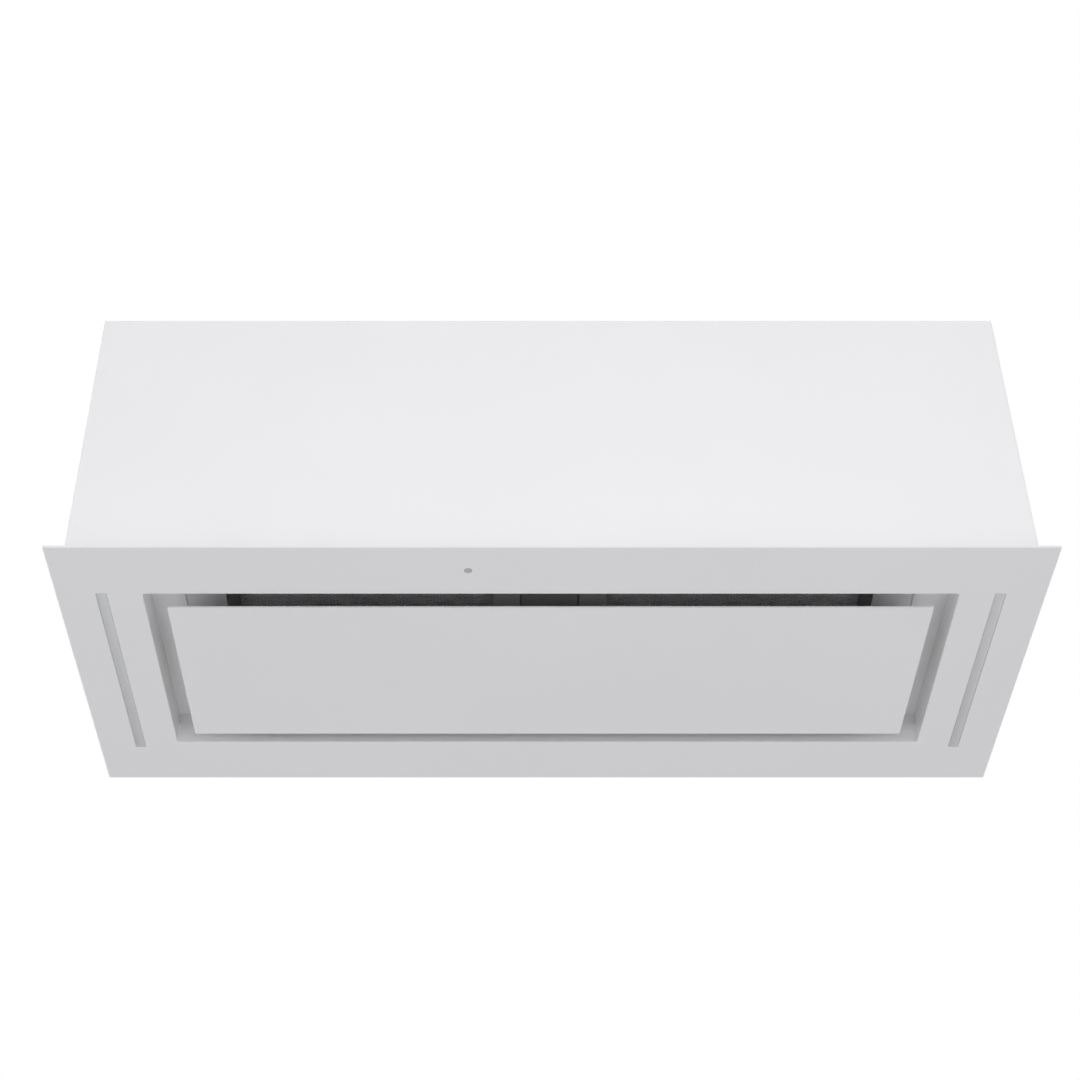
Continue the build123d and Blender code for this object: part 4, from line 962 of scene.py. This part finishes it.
REFINED = [  # CAD node, name of the piece and width of its broken edges
    ("hanger_rail_right", "hanger_channel_right", 0.6),
    ("hanger_rail_left", "hanger_channel_left", 0.6),
    ("outlet_collar", "duct_collar", 0.5), ("inner_tray", "inner_frame", 0.35),
    ("panel_tray", "panel_backing", 0.4), ("panel_hinge_ears", "panel_ears", 0.35),
    ("panel_hinge_pins", "panel_pins", 0.4), ("hinge_brackets", "ledge_hinges", 0.35),
    ("catch_brackets", "ledge_catches", 0.3), ("catch_magnets", "catch_blocks", 0.5),
    ("filter_carrier", "filter_tray", 0.3), ("filter_hooks", "filter_ears", 0.3),
    ("led_channel_right", "light_channel_right", 0.3),
    ("led_channel_left", "light_channel_left", 0.3),
    ("flap_front", "damper_front", 0.35), ("flap_rear", "damper_rear", 0.35),
    ("flap_pin", "damper_pin", 0.4), ("control_box", "switch_box", 0.45),
    ("control_box_cover", "switch_box_cover", 0.4), ("terminal_block", "wire_terminals", 0.5),
    ("led_driver", "light_driver", 0.9), ("run_capacitor", "motor_capacitor", 1.2),
    ("blower_scroll", "fan_scroll", 0.3), ("blower_side_right", "fan_side_right", 0.3),
    ("blower_side_left", "fan_side_left", 0.3), ("motor_shell_inner", "motor_cup_inner", 0.8),
    ("motor_shell_outer", "motor_cup_outer", 0.8), ("motor_spider", "motor_bracket", 0.5),
    ("motor_bushes", "motor_mounts", 0.35), ("motor_screws", "motor_bolts", 0.4),
    ("motor_shaft", "motor_spindle", 0.4), ("fascia_nuts", "fascia_nut_set", 0.25),
]


def refine_nodes():
    """The parts whose CAD shape is right, with their folded and cut edges broken."""
    slots = {row["node"]: row["material_slot"] for row in frame["record"]["subparts"]}
    for node, name, width in REFINED:
        piece = softened_copy(node, name, width)
        slot = slots[node]
        # the filter carrier takes the sheet with painted light at its ends
        finish = CARRIER_SHEET if node == "filter_carrier" else NODE_FINISH[slot]
        fit(piece, frame["nodes"][node]["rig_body"], slot, finish, node)


# ---------------------------------------------------------------- camera, lights and stage
# places and sizes in metres
LENS_MM = 66.60
SENSOR_MM = 36
LENS_SHIFT = 0.0259
CAMERA_PLACE = (-0.0353, -1.5661, -1.0990)
LOOK_UP = 38.83
FLOOR_Z = -2.2
FLOOR_SIZE = 400
FLOOR_SHADE = 0.8
FLOOR_GLOW = 0.3
AMBIENT = (0.30, 0.30, 0.31)
SUNS = [  # name, towards, strength, softness in degrees and colour
    ("front_sun", (0.06, -0.86, 0.48), 1.13, 30, (1.0, 0.995, 0.99)),
    ("rear_sun", (-0.3, 0.8, 0.5), 1.1, 40, (1.0, 1.0, 1.0)),
    ("left_sun", (-1, -0.15, 0.12), 1.0, 40, (1.0, 1.0, 1.0)),
    ("right_sun", (1, -0.15, 0.12), 1.0, 40, (1.0, 1.0, 1.0)),
]
SOFTBOX_PLACE = (0.0, -1.3, -1.2)
SOFTBOX_AIM = Vector((0, 0, 0.05))
SOFTBOX_W = 6.0
SOFTBOX_SIZE = 1.8
SOFTBOX_COLOUR = (1.0, 1.0, 1.01)


def add_camera():
    """The photograph's camera: below and in front of the hood, looking up."""
    data = bpy.data.cameras.new("camera")
    data.lens = LENS_MM
    data.sensor_width = SENSOR_MM
    data.shift_x = LENS_SHIFT
    camera = bpy.data.objects.new("camera", data)
    camera.location = CAMERA_PLACE
    camera.rotation_euler = (math.radians(90 + LOOK_UP), 0, 0)
    bpy.context.scene.collection.objects.link(camera)
    bpy.context.scene.camera = camera


def seen_directly(tree):
    """1 for camera, mirror and glass rays, so that they meet the plain white background."""
    path = tree.nodes.new("ShaderNodeLightPath")
    total = path.outputs["Is Camera Ray"]
    for kind in ("Is Glossy Ray", "Is Transmission Ray"):
        larger = tree.nodes.new("ShaderNodeMath")
        larger.operation = "MAXIMUM"
        tree.links.new(total, larger.inputs[0])
        tree.links.new(path.outputs[kind], larger.inputs[1])
        total = larger.outputs[0]
    return total


def add_surroundings():
    """Soft even light from all round, which looks white to the camera and in mirrors and glass."""
    world = bpy.data.worlds.new("studio")
    bpy.context.scene.world = world
    world.use_nodes = True
    tree = world.node_tree
    tree.nodes.clear()
    out = tree.nodes.new("ShaderNodeOutputWorld")
    mix = tree.nodes.new("ShaderNodeMixShader")
    lit = tree.nodes.new("ShaderNodeBackground")
    lit.inputs["Color"].default_value = (*AMBIENT, 1)
    white = tree.nodes.new("ShaderNodeBackground")
    white.inputs["Color"].default_value = (1, 1, 1, 1)
    tree.links.new(seen_directly(tree), mix.inputs[0])
    tree.links.new(lit.outputs[0], mix.inputs[1])
    tree.links.new(white.outputs[0], mix.inputs[2])
    tree.links.new(mix.outputs[0], out.inputs["Surface"])


def add_floor():
    """A pale floor well below the hood, which keeps its shadow."""
    bpy.ops.object.select_all(action="DESELECT")
    bpy.ops.mesh.primitive_plane_add(size=FLOOR_SIZE, location=(0, 0, FLOOR_Z))
    floor = named("studio_floor")
    paint = bpy.data.materials.new("studio_floor_paint")
    paint.use_nodes = True
    tree = paint.node_tree
    shader = tree.nodes["Principled BSDF"]
    shader.inputs["Base Color"].default_value = (FLOOR_SHADE, FLOOR_SHADE, FLOOR_SHADE, 1)
    shader.inputs["Roughness"].default_value = 0.9
    glow = tree.nodes.new("ShaderNodeEmission")
    glow.inputs["Color"].default_value = (1, 1, 1, 1)
    lift = tree.nodes.new("ShaderNodeMath")
    lift.operation = "MULTIPLY"
    lift.inputs[1].default_value = FLOOR_GLOW
    tree.links.new(seen_directly(tree), lift.inputs[0])
    tree.links.new(lift.outputs[0], glow.inputs["Strength"])
    total = tree.nodes.new("ShaderNodeAddShader")
    tree.links.new(shader.outputs[0], total.inputs[0])
    tree.links.new(glow.outputs[0], total.inputs[1])
    tree.links.new(total.outputs[0], tree.nodes["Material Output"].inputs["Surface"])
    floor.data.materials.append(paint)


def add_sun(name, towards, strength, softness, colour):
    """A soft sun that shines from the direction given."""
    data = bpy.data.lights.new(name, "SUN")
    data.energy = strength
    data.angle = math.radians(softness)
    data.color = colour
    sun = bpy.data.objects.new(name, data)
    sun.rotation_euler = (-Vector(towards)).to_track_quat("-Z", "Y").to_euler()
    bpy.context.scene.collection.objects.link(sun)


def add_softbox():
    """A large square softbox below and in front of the hood, near the camera."""
    data = bpy.data.lights.new("softbox", "AREA")
    data.shape = "SQUARE"
    data.size = SOFTBOX_SIZE
    data.energy = SOFTBOX_W
    data.color = SOFTBOX_COLOUR
    box = bpy.data.objects.new("softbox", data)
    box.location = SOFTBOX_PLACE
    box.rotation_euler = (SOFTBOX_AIM - box.location).to_track_quat("-Z", "Y").to_euler()
    box.visible_camera = False
    box.visible_glossy = False
    bpy.context.scene.collection.objects.link(box)


dress_nodes()
add_camera()
add_surroundings()
add_floor()
for sun in SUNS:
    add_sun(*sun)
add_softbox()
make_fascia()
make_housing()
make_housing_ends()
make_panel()
make_lenses()
make_receiver()
make_filter(1)
make_filter(-1)
make_rivets()
make_screws()
make_grommet()
refine_nodes()

bpy.context.scene.view_settings.view_transform = "Standard"
